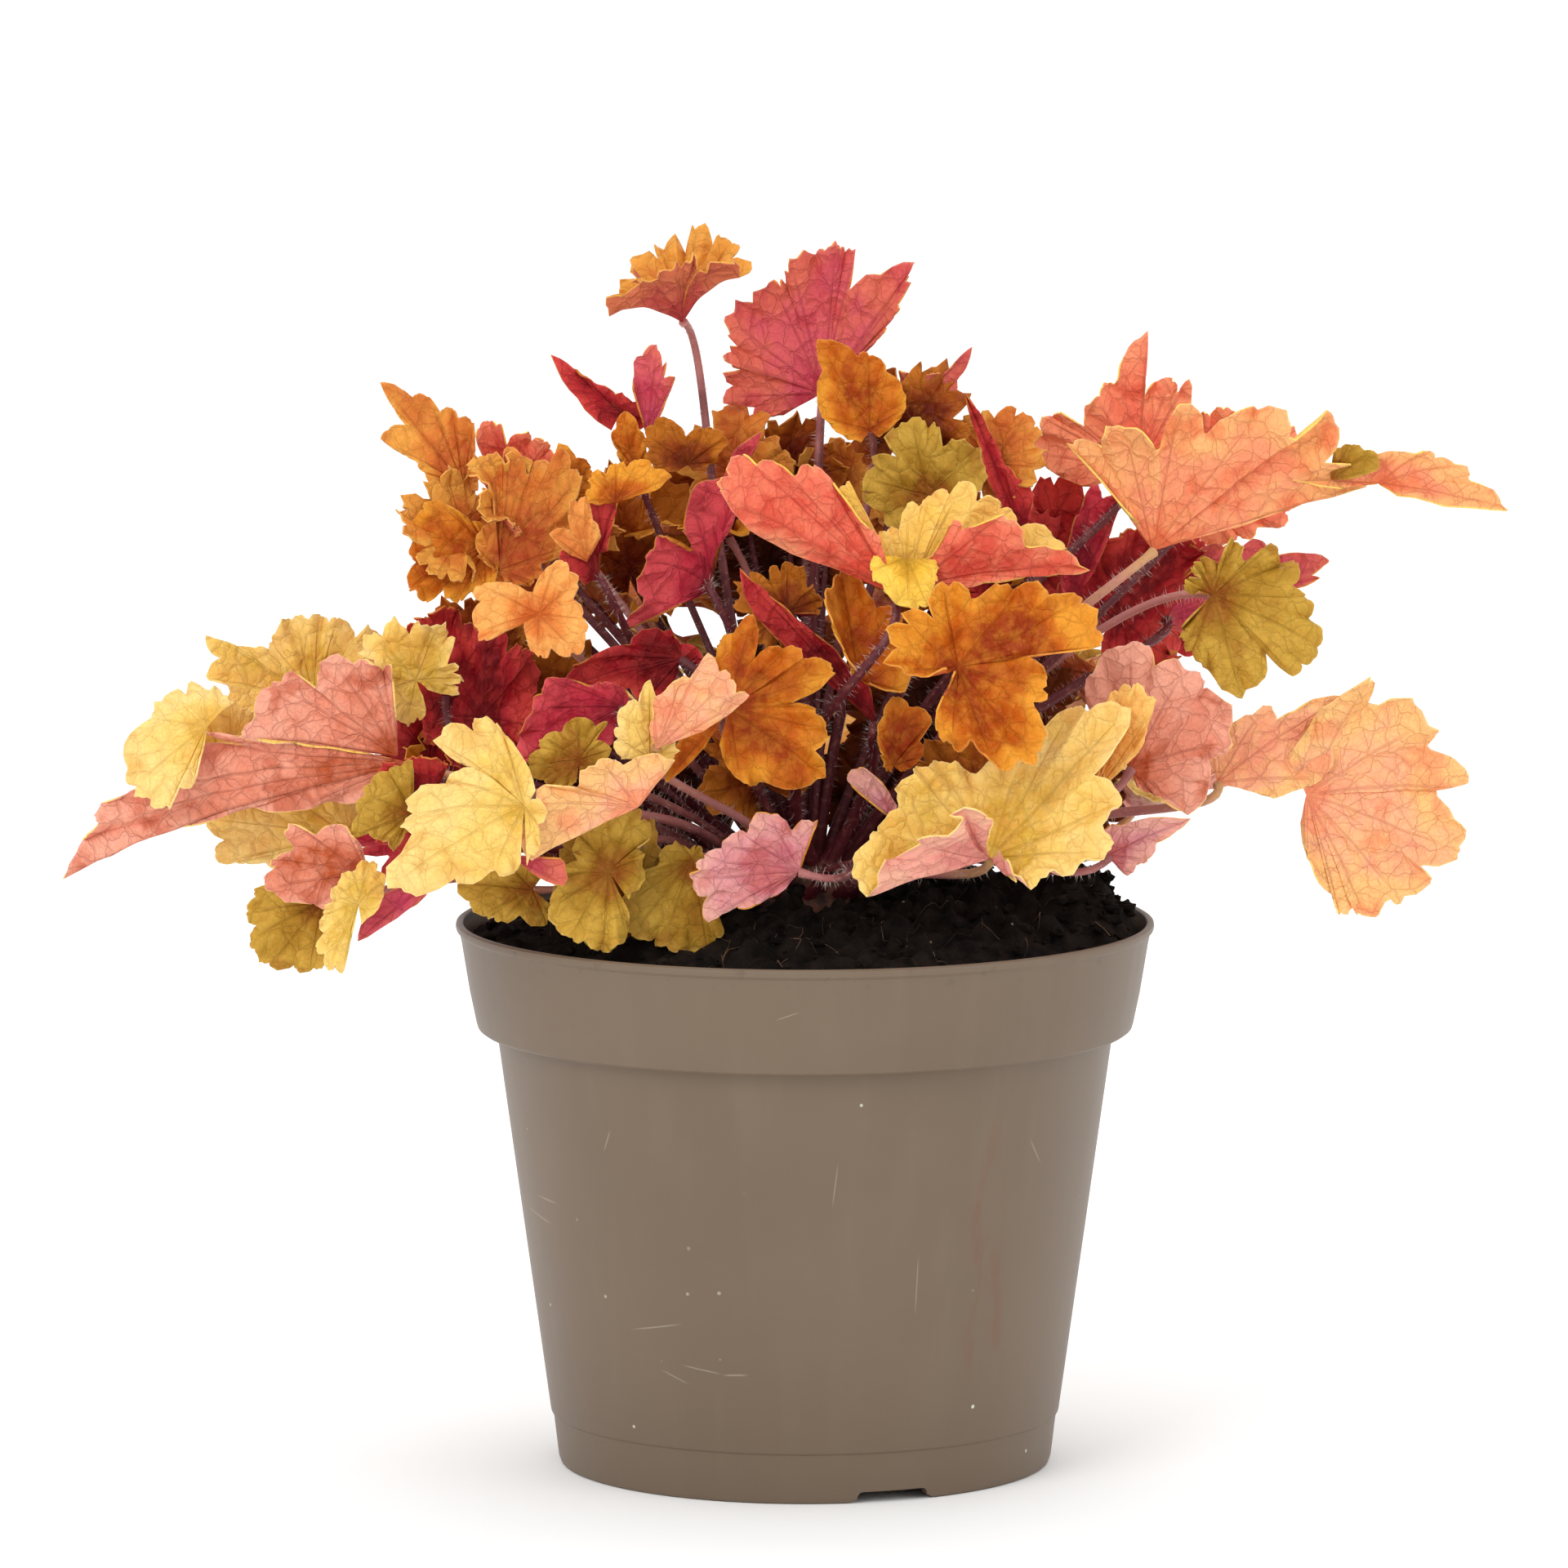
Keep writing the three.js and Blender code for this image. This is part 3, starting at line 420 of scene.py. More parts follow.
chance = random.Random(41)
select_only()
bpy.ops.mesh.primitive_ico_sphere_add(subdivisions=2, radius=1.0)
crumb_blank = bpy.context.active_object
crumb_shapes = []
for kind in range(CRUMB_KINDS):
    shape = np.array([v.co[:] for v in crumb_blank.data.vertices])
    swell = np.array([1 + 0.55 * noise.noise(Vector(v) * 1.6 + Vector((kind * 9, 0, 0))) for v in shape])
    crumb_shapes.append(shape * swell[:, None])
crumb_faces = [tuple(face.vertices) for face in crumb_blank.data.polygons]
bpy.data.objects.remove(crumb_blank)
points, faces = [], []
for i in range(CRUMBS):
    on_heap = i % 6 == 0
    turn = chance.gauss(-0.08, 0.20) if on_heap else chance.uniform(0, 2 * math.pi)
    reach = SOIL_RADIUS * math.sqrt(chance.uniform(0.6, 0.95) if on_heap else chance.uniform(0.0, 0.93))
    x, y = reach * math.cos(turn), reach * math.sin(turn)
    size = 0.45 + 1.1 * chance.random() ** 3
    squash = np.array([chance.uniform(0.7, 1.5), chance.uniform(0.6, 1.2), chance.uniform(0.5, 0.9)])
    spin = chance.uniform(0, math.pi)
    spun = np.array([[math.cos(spin), -math.sin(spin), 0], [math.sin(spin), math.cos(spin), 0], [0, 0, 1]])
    centre = np.array([x, y, soil_height(x, y) + (0.8 if on_heap else 0.25) * size])
    crumb = (crumb_shapes[i % CRUMB_KINDS] * squash * size) @ spun.T + centre
    faces += [tuple(len(points) + k for k in face) for face in crumb_faces]
    points += [tuple(p / 1000) for p in crumb]
crumbs = mesh_piece("loose_crumbs", points, faces)
crumbs.data.materials.append(peat.material)


def thread(points, faces, path, radius, sides=4):
    """Adds a closed tube along a path to lists of points and faces. The radius may differ along it."""
    path = np.asarray(path, float)
    radii = np.broadcast_to(np.asarray(radius, float), len(path))
    ahead = np.gradient(path, axis=0)
    ahead /= np.linalg.norm(ahead, axis=1)[:, None] + 1e-12
    across = np.cross(ahead[0], (0.31, 0.17, 0.94))
    first = len(points)
    for centre, way, thick in zip(path, ahead, radii):
        across = across - way * (across @ way)
        across /= np.linalg.norm(across)
        other = np.cross(way, across)
        for k in range(sides):
            turn = 2 * math.pi * k / sides
            points.append(tuple(centre + thick * (across * math.cos(turn) + other * math.sin(turn))))
    for i in range(len(path) - 1):
        for k in range(sides):
            a, b = first + i * sides + k, first + i * sides + (k + 1) % sides
            faces.append((a, b, b + sides, a + sides))
    faces.append(tuple(first + k for k in reversed(range(sides))))
    faces.append(tuple(len(points) - sides + k for k in range(sides)))


points, faces = [], []
for i in range(FIBRES):
    turn = chance.uniform(0, 2 * math.pi) if i % 3 else chance.uniform(-1.9, -0.2)
    reach = SOIL_RADIUS * math.sqrt(chance.uniform(0.12, 0.9))
    x, y = reach * math.cos(turn), reach * math.sin(turn)
    heading, bend = chance.uniform(0, 2 * math.pi), chance.uniform(-0.5, 0.5)
    lift = chance.uniform(0.2, 2.2)
    count = chance.randint(5, 10)
    path = []
    for k in range(count):
        if math.hypot(x, y) > SOIL_RADIUS - 1:
            break
        rise = lift * math.sin(math.pi * k / (count - 1))
        path.append((x / 1000, y / 1000, (soil_height(x, y) - 0.2 + rise) / 1000))
        x, y = x + 1.5 * math.cos(heading), y + 1.5 * math.sin(heading)
        heading += bend + chance.uniform(-0.25, 0.25)
    if len(path) > 3:
        thread(points, faces, path, chance.uniform(0.00003, 0.00006))
fibres = mesh_piece("root_fibres", points, faces)
root_hair = Finish("root_fibre", Roughness=0.75)
dark, pale = linear(0.15, 0.09, 0.06), linear(0.58, 0.43, 0.30)
uneven = root_hair.noise(root_hair.place(), 90).rise(0.48, 0.72)
root_hair.use("Base Color", root_hair.mix(uneven, dark, pale))
fibres.data.materials.append(root_hair.material)
for piece in (soil, crumbs, fibres):
    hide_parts("soil")
    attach(piece, "root")

# ---------------------------------------------------------------- the leaf blades: shape
# A blade is a thin living sheet with rounded, toothed lobes round the point where its stalk joins it. A flat
# blank is spread into a fan, then arched, folded, dished, rolled and ruffled for each blade.
LOBE_FAN = 322
SINUS_DEPTH = 0.21
LOBE_BLUNTNESS = 3.24
REAR_ROUNDING = 22
FULL_LOBES = (0.62, 0.8, 0.93, 1, 0.93, 0.8, 0.62)
YOUNG_LOBES = (0.7, 0.9, 1, 0.9, 0.7)
YOUNG_BLADE = 13.5
BLADE_THICKNESS = 0.32
WAVE, CRUMPLE = 0.06, 0.042
QUILT, QUILT_MOST = 0.028, 0.7
ROLL_FROM, LOBE_ROLL = 0.62, 55
FINENESS = [(27, 17, 24), (16, 14, 20), (0, 11, 18)]
RIM_STEPS = 14
RING_CROWDING = 0.85
LEAVES = []

# The midrib bends down by arch and each half bends up by its fold, in degrees. Width, cup, bow, pleat, frill
# and bite are shares of the blade's size. Roll goes from 0 for flat lobes to 1, and sharp does for the teeth.
PLAIN_BLADE = dict(
    rim=None, tint=None, knee=None, arch=15, fold=(20, 20), width=1,
    cup=0, bow=-0.04, pleat=0.07, roll=1, sharp=0)


def blade(at, end, face, rim=None, **more):
    """A blade from its stalk's end, its tip and the way it faces. A folded or curled one has its rim as well.

    The rim goes round anticlockwise as seen from the upper side: each place is a step from the stalk's end,
    to the right, towards the front and up, and every second one is the tip of a lobe. A knee is such a step.
    """
    young = math.dist(at, end) < YOUNG_BLADE
    shape = dict(PLAIN_BLADE, lobes=YOUNG_LOBES if young else FULL_LOBES)
    shape.update(teeth=3, bite=0.26 if young else 0.19, frill=0.035 if young else 0.020)
    if rim:
        shape["rim"] = np.array([(x, -front, z) for x, front, z in rim], float)
        shape.update(lobes=(1,) * (len(rim) // 2), teeth=2, bite=0.15, pleat=0.05, frill=0.05, roll=0.3)
    shape.update(more, at=at, end=end, face=face)
    return shape


def leaf(name, tint, *blades):
    for i, one in enumerate(blades):
        one["phase"] = 1.7 * len(LEAVES) + 2.3 * i
        one["tint"] = one["tint"] or tint
    LEAVES.append((name, tint, blades))


def nearest_lobe(lobes, turn):
    """Which lobe a direction is in, that lobe's own direction, and how far off it is in half-lobes."""
    spacing = LOBE_FAN / len(lobes)
    place = np.clip(turn / spacing + (len(lobes) - 1) / 2, 0, len(lobes) - 1)
    nearest = np.rint(place).astype(int)
    rib = (nearest - (len(lobes) - 1) / 2) * spacing
    return nearest, rib, (turn - rib) / (spacing / 2)


def rim_ray(shape, turn):
    """A rimmed blade's way, its reach and the length of its lobe's edge, in each direction of the fan."""
    rim = shape["rim"]
    nearest, _, off = nearest_lobe(shape["lobes"], turn)
    tip = 2 * nearest + 1
    notch = tip + np.where(off < 0, -1, 1)
    off = np.minimum(1, np.abs(off))[:, None]
    edge, middle = rim[notch] - rim[tip], (rim[notch] + rim[tip]) / 2
    bulge = middle - edge * (np.sum(middle * edge, axis=1) / np.sum(edge * edge, axis=1))[:, None]
    bulge *= (np.linalg.norm(edge, axis=1) / np.linalg.norm(middle, axis=1))[:, None]
    place = rim[tip] + edge * off + bulge * 0.6 * off * (1 - off)
    reach = np.linalg.norm(place, axis=1)
    steps = np.cross(rim[:-1], rim[1:])
    facing = np.linalg.norm(steps, axis=1) / (np.linalg.norm(rim[:-1] + rim[1:], axis=1) / 2)
    return place / reach[:, None], reach, (facing[tip - 1] + facing[tip]) / 2


def fan_angle(shape, turn):
    """The angle round the stalk, laid flat, of each direction of the fan."""
    if shape["rim"] is None:
        return np.radians(turn)
    stops = np.linspace(-LOBE_FAN / 2, LOBE_FAN / 2, 161)
    ways = rim_ray(shape, stops)[0]
    steps = np.arccos(np.clip(np.sum(ways[1:] * ways[:-1], axis=1), -1, 1))
    angles = np.concatenate([[0], np.cumsum(steps)])
    return np.interp(turn, stops, angles - angles[-1] / 2)


def reach_at(shape, turn):
    """How far the blade reaches in each direction, in mm, teeth included."""
    lobes = np.array(shape["lobes"], float)
    nearest, _, off = nearest_lobe(lobes, turn)
    beside = np.clip(nearest + np.sign(off).astype(int), 0, len(lobes) - 1)
    halfway = (lobes[nearest] + lobes[beside]) / 2
    sinus = (1 - SINUS_DEPTH) * (np.minimum(lobes[nearest], halfway) + np.minimum(lobes[beside], halfway)) / 2
    reach = lobes[nearest] + (sinus - lobes[nearest]) * np.minimum(1, np.abs(off)) ** LOBE_BLUNTNESS
    rear = np.clip((LOBE_FAN / 2 - np.abs(turn)) / REAR_ROUNDING, 0, 1)
    reach = reach * blade_size(shape) * (0.55 + 0.45 * np.sqrt(rear * (2 - rear)))
    scale = reach
    if shape["rim"] is not None:
        _, reach, lobe_edge = rim_ray(shape, turn)
        scale = np.minimum(2.5 * lobe_edge, 0.7 * blade_size(shape))
    tooth = (off + 1) / 2 * shape["teeth"] + 0.16 * np.sin(2.3 * off + 9.1 * nearest + shape["phase"])
    aside = np.abs(2 * (tooth - np.floor(tooth)) - 1)
    uneven = 0.7 + 0.3 * np.sin(12.7 * (nearest * shape["teeth"] + np.floor(tooth)) + 5 * shape["phase"])
    scallop = np.sqrt(np.maximum(0, 1 - aside**2)) - 0.6
    point = np.clip(1 - aside / 0.3, 0, 1) ** 2
    scallop = scallop + 0.3 * point + shape["sharp"] * (0.7 - 1.3 * aside - scallop)
    nick = np.abs(2 * ((3 * tooth) % 1) - 1)
    return reach + scale * shape["bite"] * (uneven * scallop - 0.2 * nick**3)


def toward(azimuth, elevation):
    a, e = math.radians(azimuth), math.radians(elevation)
    return np.array([math.cos(e) * math.cos(a), math.cos(e) * math.sin(a), math.sin(e)])


def blade_size(shape):
    """The length of the midrib, or what it would be in a plain half blade with as much to it, in mm."""
    if shape["rim"] is not None:
        sectors = np.cross(shape["rim"][:-1], shape["rim"][1:]) / 2
        return math.sqrt(2 * np.linalg.norm(sectors, axis=1).sum() / math.pi)
    return blade_frame(shape)[4]


def blade_frame(shape):
    """The blade's place, its three directions at the stalk and the length of its midrib."""
    at = np.array(shape["at"], float)
    chord = np.array(shape["end"], float) - at
    straight = chord / np.linalg.norm(chord)
    face = toward(*shape["face"])
    level = face - straight * (face @ straight)
    level /= np.linalg.norm(level)
    half = math.radians(shape["arch"]) / 2
    along = straight * math.cos(half) + level * math.sin(half)
    up = level * math.cos(half) - straight * math.sin(half)
    size = np.linalg.norm(chord) * (half / math.sin(half) if abs(half) > 1e-6 else 1)
    return at, along, up, np.cross(up, along), size


def square_to(direction, way):
    """A direction made square to each of the ways."""
    direction = direction - way * (way @ direction)[:, None]
    return direction / (np.linalg.norm(direction, axis=1)[:, None] + 1e-9)


def arc(bend, length):
    """How far forward and up a strip gets that bends evenly on the way."""
    bend = np.where(np.abs(bend) < 1e-6, 1e-6, bend)
    return np.sin(bend * length) / bend, (1 - np.cos(bend * length)) / bend


def bent(shape, share, turn):
    """Points of the bent blade, in mm, at shares of its reach and directions in degrees."""
    at, along, up, side, size = blade_frame(shape)
    reach = share * reach_at(shape, turn)
    if shape["rim"] is not None:
        way = rim_ray(shape, turn)[0]
        upper = square_to(toward(*shape["face"]), way)
        place = at + way * reach[:, None] - upper * (shape["bow"] * 4 * reach * (1 - share))[:, None]
        if shape["knee"] is not None:
            knee = np.array([shape["knee"][0], -shape["knee"][1], shape["knee"][2]], float)
            near = 0.8 * np.maximum(0, way @ knee / np.linalg.norm(knee))
            pull = knee - way * (reach / share.clip(1e-3) / 2)[:, None]
            place = place + pull * (2 * share * (1 - share) * near)[:, None]
        return place
    theta = np.radians(turn)
    a, b = reach * np.cos(theta), reach * np.sin(theta) * shape["width"]
    wide = np.sin(5 * theta + shape["phase"]) * share**2
    fine = np.sin(9 * theta + 2.1 * shape["phase"]) * share**3
    lift = size * (WAVE * (wide + 0.6 * fine) + shape["cup"] * share**2)
    bend = math.radians(shape["arch"]) / size
    run, drop = arc(bend, a)
    fold = np.radians(np.array(shape["fold"], float))[(b < 0).astype(int)] / (size * shape["width"])
    across, rise = arc(fold, np.abs(b))
    roll = b * fold
    up_here = up * np.cos(bend * a)[:, None] + along * np.sin(bend * a)[:, None]
    sideways = np.sign(b) * across - lift * np.sin(roll)
    upwards = rise + lift * np.cos(roll)
    midrib = at + along * run[:, None] - up * drop[:, None]
    return midrib + side * sideways[:, None] + up_here * upwards[:, None]


def upward(surface, shape, share, turn):
    """The blade's upper-side direction at each point, and its direction away from the stalk."""
    share = np.maximum(share, 0.04)
    out = surface(shape, share + 0.01, turn) - surface(shape, share - 0.01, turn)
    round_ = surface(shape, share, turn + 0.8) - surface(shape, share, turn - 0.8)
    normal = np.cross(out, round_)
    out /= np.linalg.norm(out, axis=1)[:, None] + 1e-9
    if shape["rim"] is not None:
        return square_to(toward(*shape["face"]), out), out
    return normal / (np.linalg.norm(normal, axis=1)[:, None] + 1e-9), out


def rib_place(shape, share, turn):
    """Distances along the nearest main vein and off it, in mm."""
    _, rib, _ = nearest_lobe(shape["lobes"], turn)
    reach = share * reach_at(shape, turn)
    off = fan_angle(shape, turn) - fan_angle(shape, rib)
    return reach * np.cos(off), reach * np.abs(np.sin(off))


def ruffled(shape, share, turn):
    """The bent blade with its sunk veins, pleats between the lobes, crumples and frilled edge."""
    size = blade_size(shape)
    normal, _ = upward(bent, shape, share, turn)
    _, off_rib = rib_place(shape, share, turn)
    _, _, off = nearest_lobe(shape["lobes"], turn)
    phase = shape["phase"]
    quilt = min(QUILT_MOST, QUILT * size) * (1 - np.exp(-((off_rib / 1.6) ** 2))) * (1 - 0.4 * share**2)
    pleat = shape["pleat"] * size * share**2.5 * (off**2 - 0.45)
    frill = shape["frill"] * size * share**4
    theta = fan_angle(shape, turn)
    frill = frill * (np.sin(18 * theta + 3 * phase) + 0.7 * np.sin(30 * theta + 1.7 * phase + 2))
    reach = share * reach_at(shape, turn) / size
    a, b = reach * np.cos(theta), reach * np.sin(theta)
    crumple = np.sin(4.1 * a + 1.3 * phase) * np.sin(4.9 * b + 2.1 * phase)
    crumple = crumple + 0.5 * np.sin(8.7 * a - 7.3 * b + 3.7 * phase)
    crumple = crumple + 0.35 * np.sin(13 * a + 15 * b + 2.9 * phase)
    lift = quilt + pleat + frill + CRUMPLE * size * share * crumple
    return bent(shape, share, turn) + normal * lift[:, None]


def curled(shape, share, turn):
    """The ruffled blade with its lobes rolled to the upper side or away from it, some more than others."""
    nearest, _, off = nearest_lobe(shape["lobes"], turn)
    start = np.minimum(share, ROLL_FROM)
    base = ruffled(shape, start, turn)
    straight = ruffled(shape, share, turn) - base
    normal, out = upward(ruffled, shape, np.full_like(share, ROLL_FROM - 0.01), turn)
    width = (1 - ROLL_FROM) * reach_at(shape, turn)
    lobe_roll = LOBE_ROLL * np.sin(7.3 * nearest + 4.1 * shape["phase"]) * shape["roll"]
    bend = np.radians(lobe_roll * (1 - off**2)) / width
    run, rise = arc(bend, (share - start) / (1 - ROLL_FROM) * width)
    rolled = out * run[:, None] + normal * rise[:, None]
    ripple = normal * np.sum(straight * normal, axis=1)[:, None] * 0.8
    return base + rolled + np.where((share > ROLL_FROM)[:, None], ripple, 0)


blanks = {}


def leaf_blank(rings, steps):
    """A flat grid, rings from stalk to rim and steps round the fan, made once for each fineness."""
    if (rings, steps) not in blanks:
        select_only()
        bpy.ops.mesh.primitive_grid_add(x_subdivisions=rings, y_subdivisions=steps, size=2)
        made = bpy.context.active_object
        blanks[(rings, steps)] = made.data.copy()
        bpy.data.objects.remove(made)
    return blanks[(rings, steps)].copy()


def leaf_sheet(name, shape):
    """One blade as a closed thin plate, upper finish on one side and under finish on the other."""
    size = blade_size(shape)
    lobes = len(shape["lobes"])
    rings, steps = next(fine[1:] for fine in FINENESS if size > fine[0])
    steps = steps if shape["rim"] is None else RIM_STEPS
    mesh = leaf_blank(rings, steps * lobes)
    flat = np.zeros(len(mesh.vertices) * 3)
    mesh.vertices.foreach_get("co", flat)
    flat = flat.reshape(-1, 3)
    share = ((flat[:, 0] + 1) / 2) ** RING_CROWDING
    turn = flat[:, 1] * LOBE_FAN / 2
    mesh.vertices.foreach_set("co", (curled(shape, share, turn) / 1000).ravel())
    along_rib, off_rib = rib_place(shape, share, turn)
    reach = share * reach_at(shape, turn)
    theta = fan_angle(shape, turn)
    vary = 0.5 + 0.5 * math.sin(37.7 * shape["phase"] + 1)
    flat_place = np.stack([reach * np.cos(theta), reach * np.sin(theta), np.full_like(share, vary)], 1)
    for label, values in [("rib", np.stack([along_rib, off_rib, share], 1)), ("flat", flat_place)]:
        mesh.attributes.new(label, "FLOAT_VECTOR", "POINT").data.foreach_set("vector", values.ravel())
    mesh.update()
    piece = bpy.data.objects.new(name, mesh)
    bpy.context.collection.objects.link(piece)
    for finish in LEAF_FINISHES[shape["tint"]]:
        mesh.materials.append(finish.material)
    welded = bmesh.new()
    welded.from_mesh(mesh)
    bmesh.ops.remove_doubles(welded, verts=welded.verts, dist=2e-6)
    welded.to_mesh(mesh)
    welded.free()
    select_only(piece)
    plate = piece.modifiers.new("plate", "SOLIDIFY")
    plate.thickness = BLADE_THICKNESS / 1000
    plate.offset = 0
    plate.material_offset = 1
    bpy.ops.object.modifier_apply(modifier=plate.name)
    bpy.ops.object.shade_smooth_by_angle(angle=math.radians(55))
    return piece


def leaf_piece(name, blades):
    """One piece with a sheet for each blade."""
    sheets = [leaf_sheet(f"{name}_{i}", one) for i, one in enumerate(blades)]
    select_only(*sheets)
    if len(sheets) > 1:
        bpy.ops.object.join()
    sheets[0].name = name
    return sheets[0]


# ---------------------------------------------------------------- the leaf blades: colour
# Satin, slightly see-through and differently coloured on their two sides: gold, amber or olive above, and
# coral, rose or crimson below, with a dark net of veins, a pale thin rim, and a duller heart by the stalk.
def leaf_finish(name, heart, body, edge, vein, under):
    """One side of a blade, in the colour of its heart, body, edge and veins."""
    side = Finish(name, Specular_IOR_Level=0.16, Subsurface_Weight=0.18, Subsurface_Scale=0.0010)
    side.shader.inputs["Subsurface Radius"].default_value = (1.0, 0.40, 0.15)
    along_rib, off_rib, share = side.axes(side.attribute("rib"))
    flat = side.attribute("flat")
    vary = side.axes(flat)[2]
    shifted = side.shift(side.stretch(flat, 1, 1, 31.0), (3.0, 7.0, 0.0))
    patches = side.noise(shifted, 0.075, 2.0)
    mottle = side.noise(shifted, 0.40, 4.0)
    blotch = side.noise(side.shift(shifted, (40.0, 11.0, 5.0)), 0.13, 4.0)
    warped = side.shift(flat, side.stretch(side.noise(flat, 0.32, 3.0, output="Color"), 3.0, 3.0, 0))
    net = side.cells(warped, 0.30, "DISTANCE_TO_EDGE", flat=True)
    mesh_net = side.cells(warped, 0.85, "DISTANCE_TO_EDGE", flat=True)
    main = off_rib.rise(0.28, 0.06) * share.rise(1.0, 0.7)
    branch_place = (along_rib - 0.95 * off_rib + 2.6 * mottle) / 5.6
    branch = abs(branch_place.fraction() - 0.5).rise(0.026, 0.006)
    branch = branch * off_rib.rise(0.1, 0.6) * share.rise(1.02, 0.8)
    coarse = net.rise(0.036, 0.008)
    fine = mesh_net.rise(0.050, 0.012)
    strengths = (0.28, 0.28, 0.30, 0.12) if under else (0.20, 0.13, 0.08, 0.04)
    lines = main * strengths[0]
    for finer, strength in zip((branch, coarse, fine), strengths[1:]):
        lines = lines.larger(finer * strength)
    spread = (share + (patches - 0.5) * 2.2 + (vary - 0.5) * 0.40).smaller(1.0)
    tone = side.mix(spread.rise(0.10, 0.60), linear(*heart), linear(*body))
    tone = side.mix(spread.rise(0.55, 1.0), tone, linear(*edge))
    tone = side.mix(mottle.rise(0.40, 0.62) * 0.30, tone, linear(*edge))
    dull_heart = linear(heart[0], 0.88 * heart[1], 0.8 * heart[2])
    tone = side.mix(blotch.rise(0.51, 0.67) * (0.62 if under else 0.45), tone, dull_heart)
    tone = side.mix(lines, tone, linear(*vein))
    tone = side.mix(share.rise(0.978, 0.996) * 0.25, tone, linear(*[0.25 + 0.75 * c for c in edge]))
    side.use("Base Color", tone)
    side.use("Roughness", 0.50 + 0.16 * mottle)
    raised = main * 0.9 + branch * 0.7 + coarse * 0.6 + fine * 0.25 - net.rise(0.0, 0.28) * 0.9
    sign = 1.0 if under else -1.0
    side.bump(raised * sign + mottle * 0.8, 0.00045, 0.65)
    return side


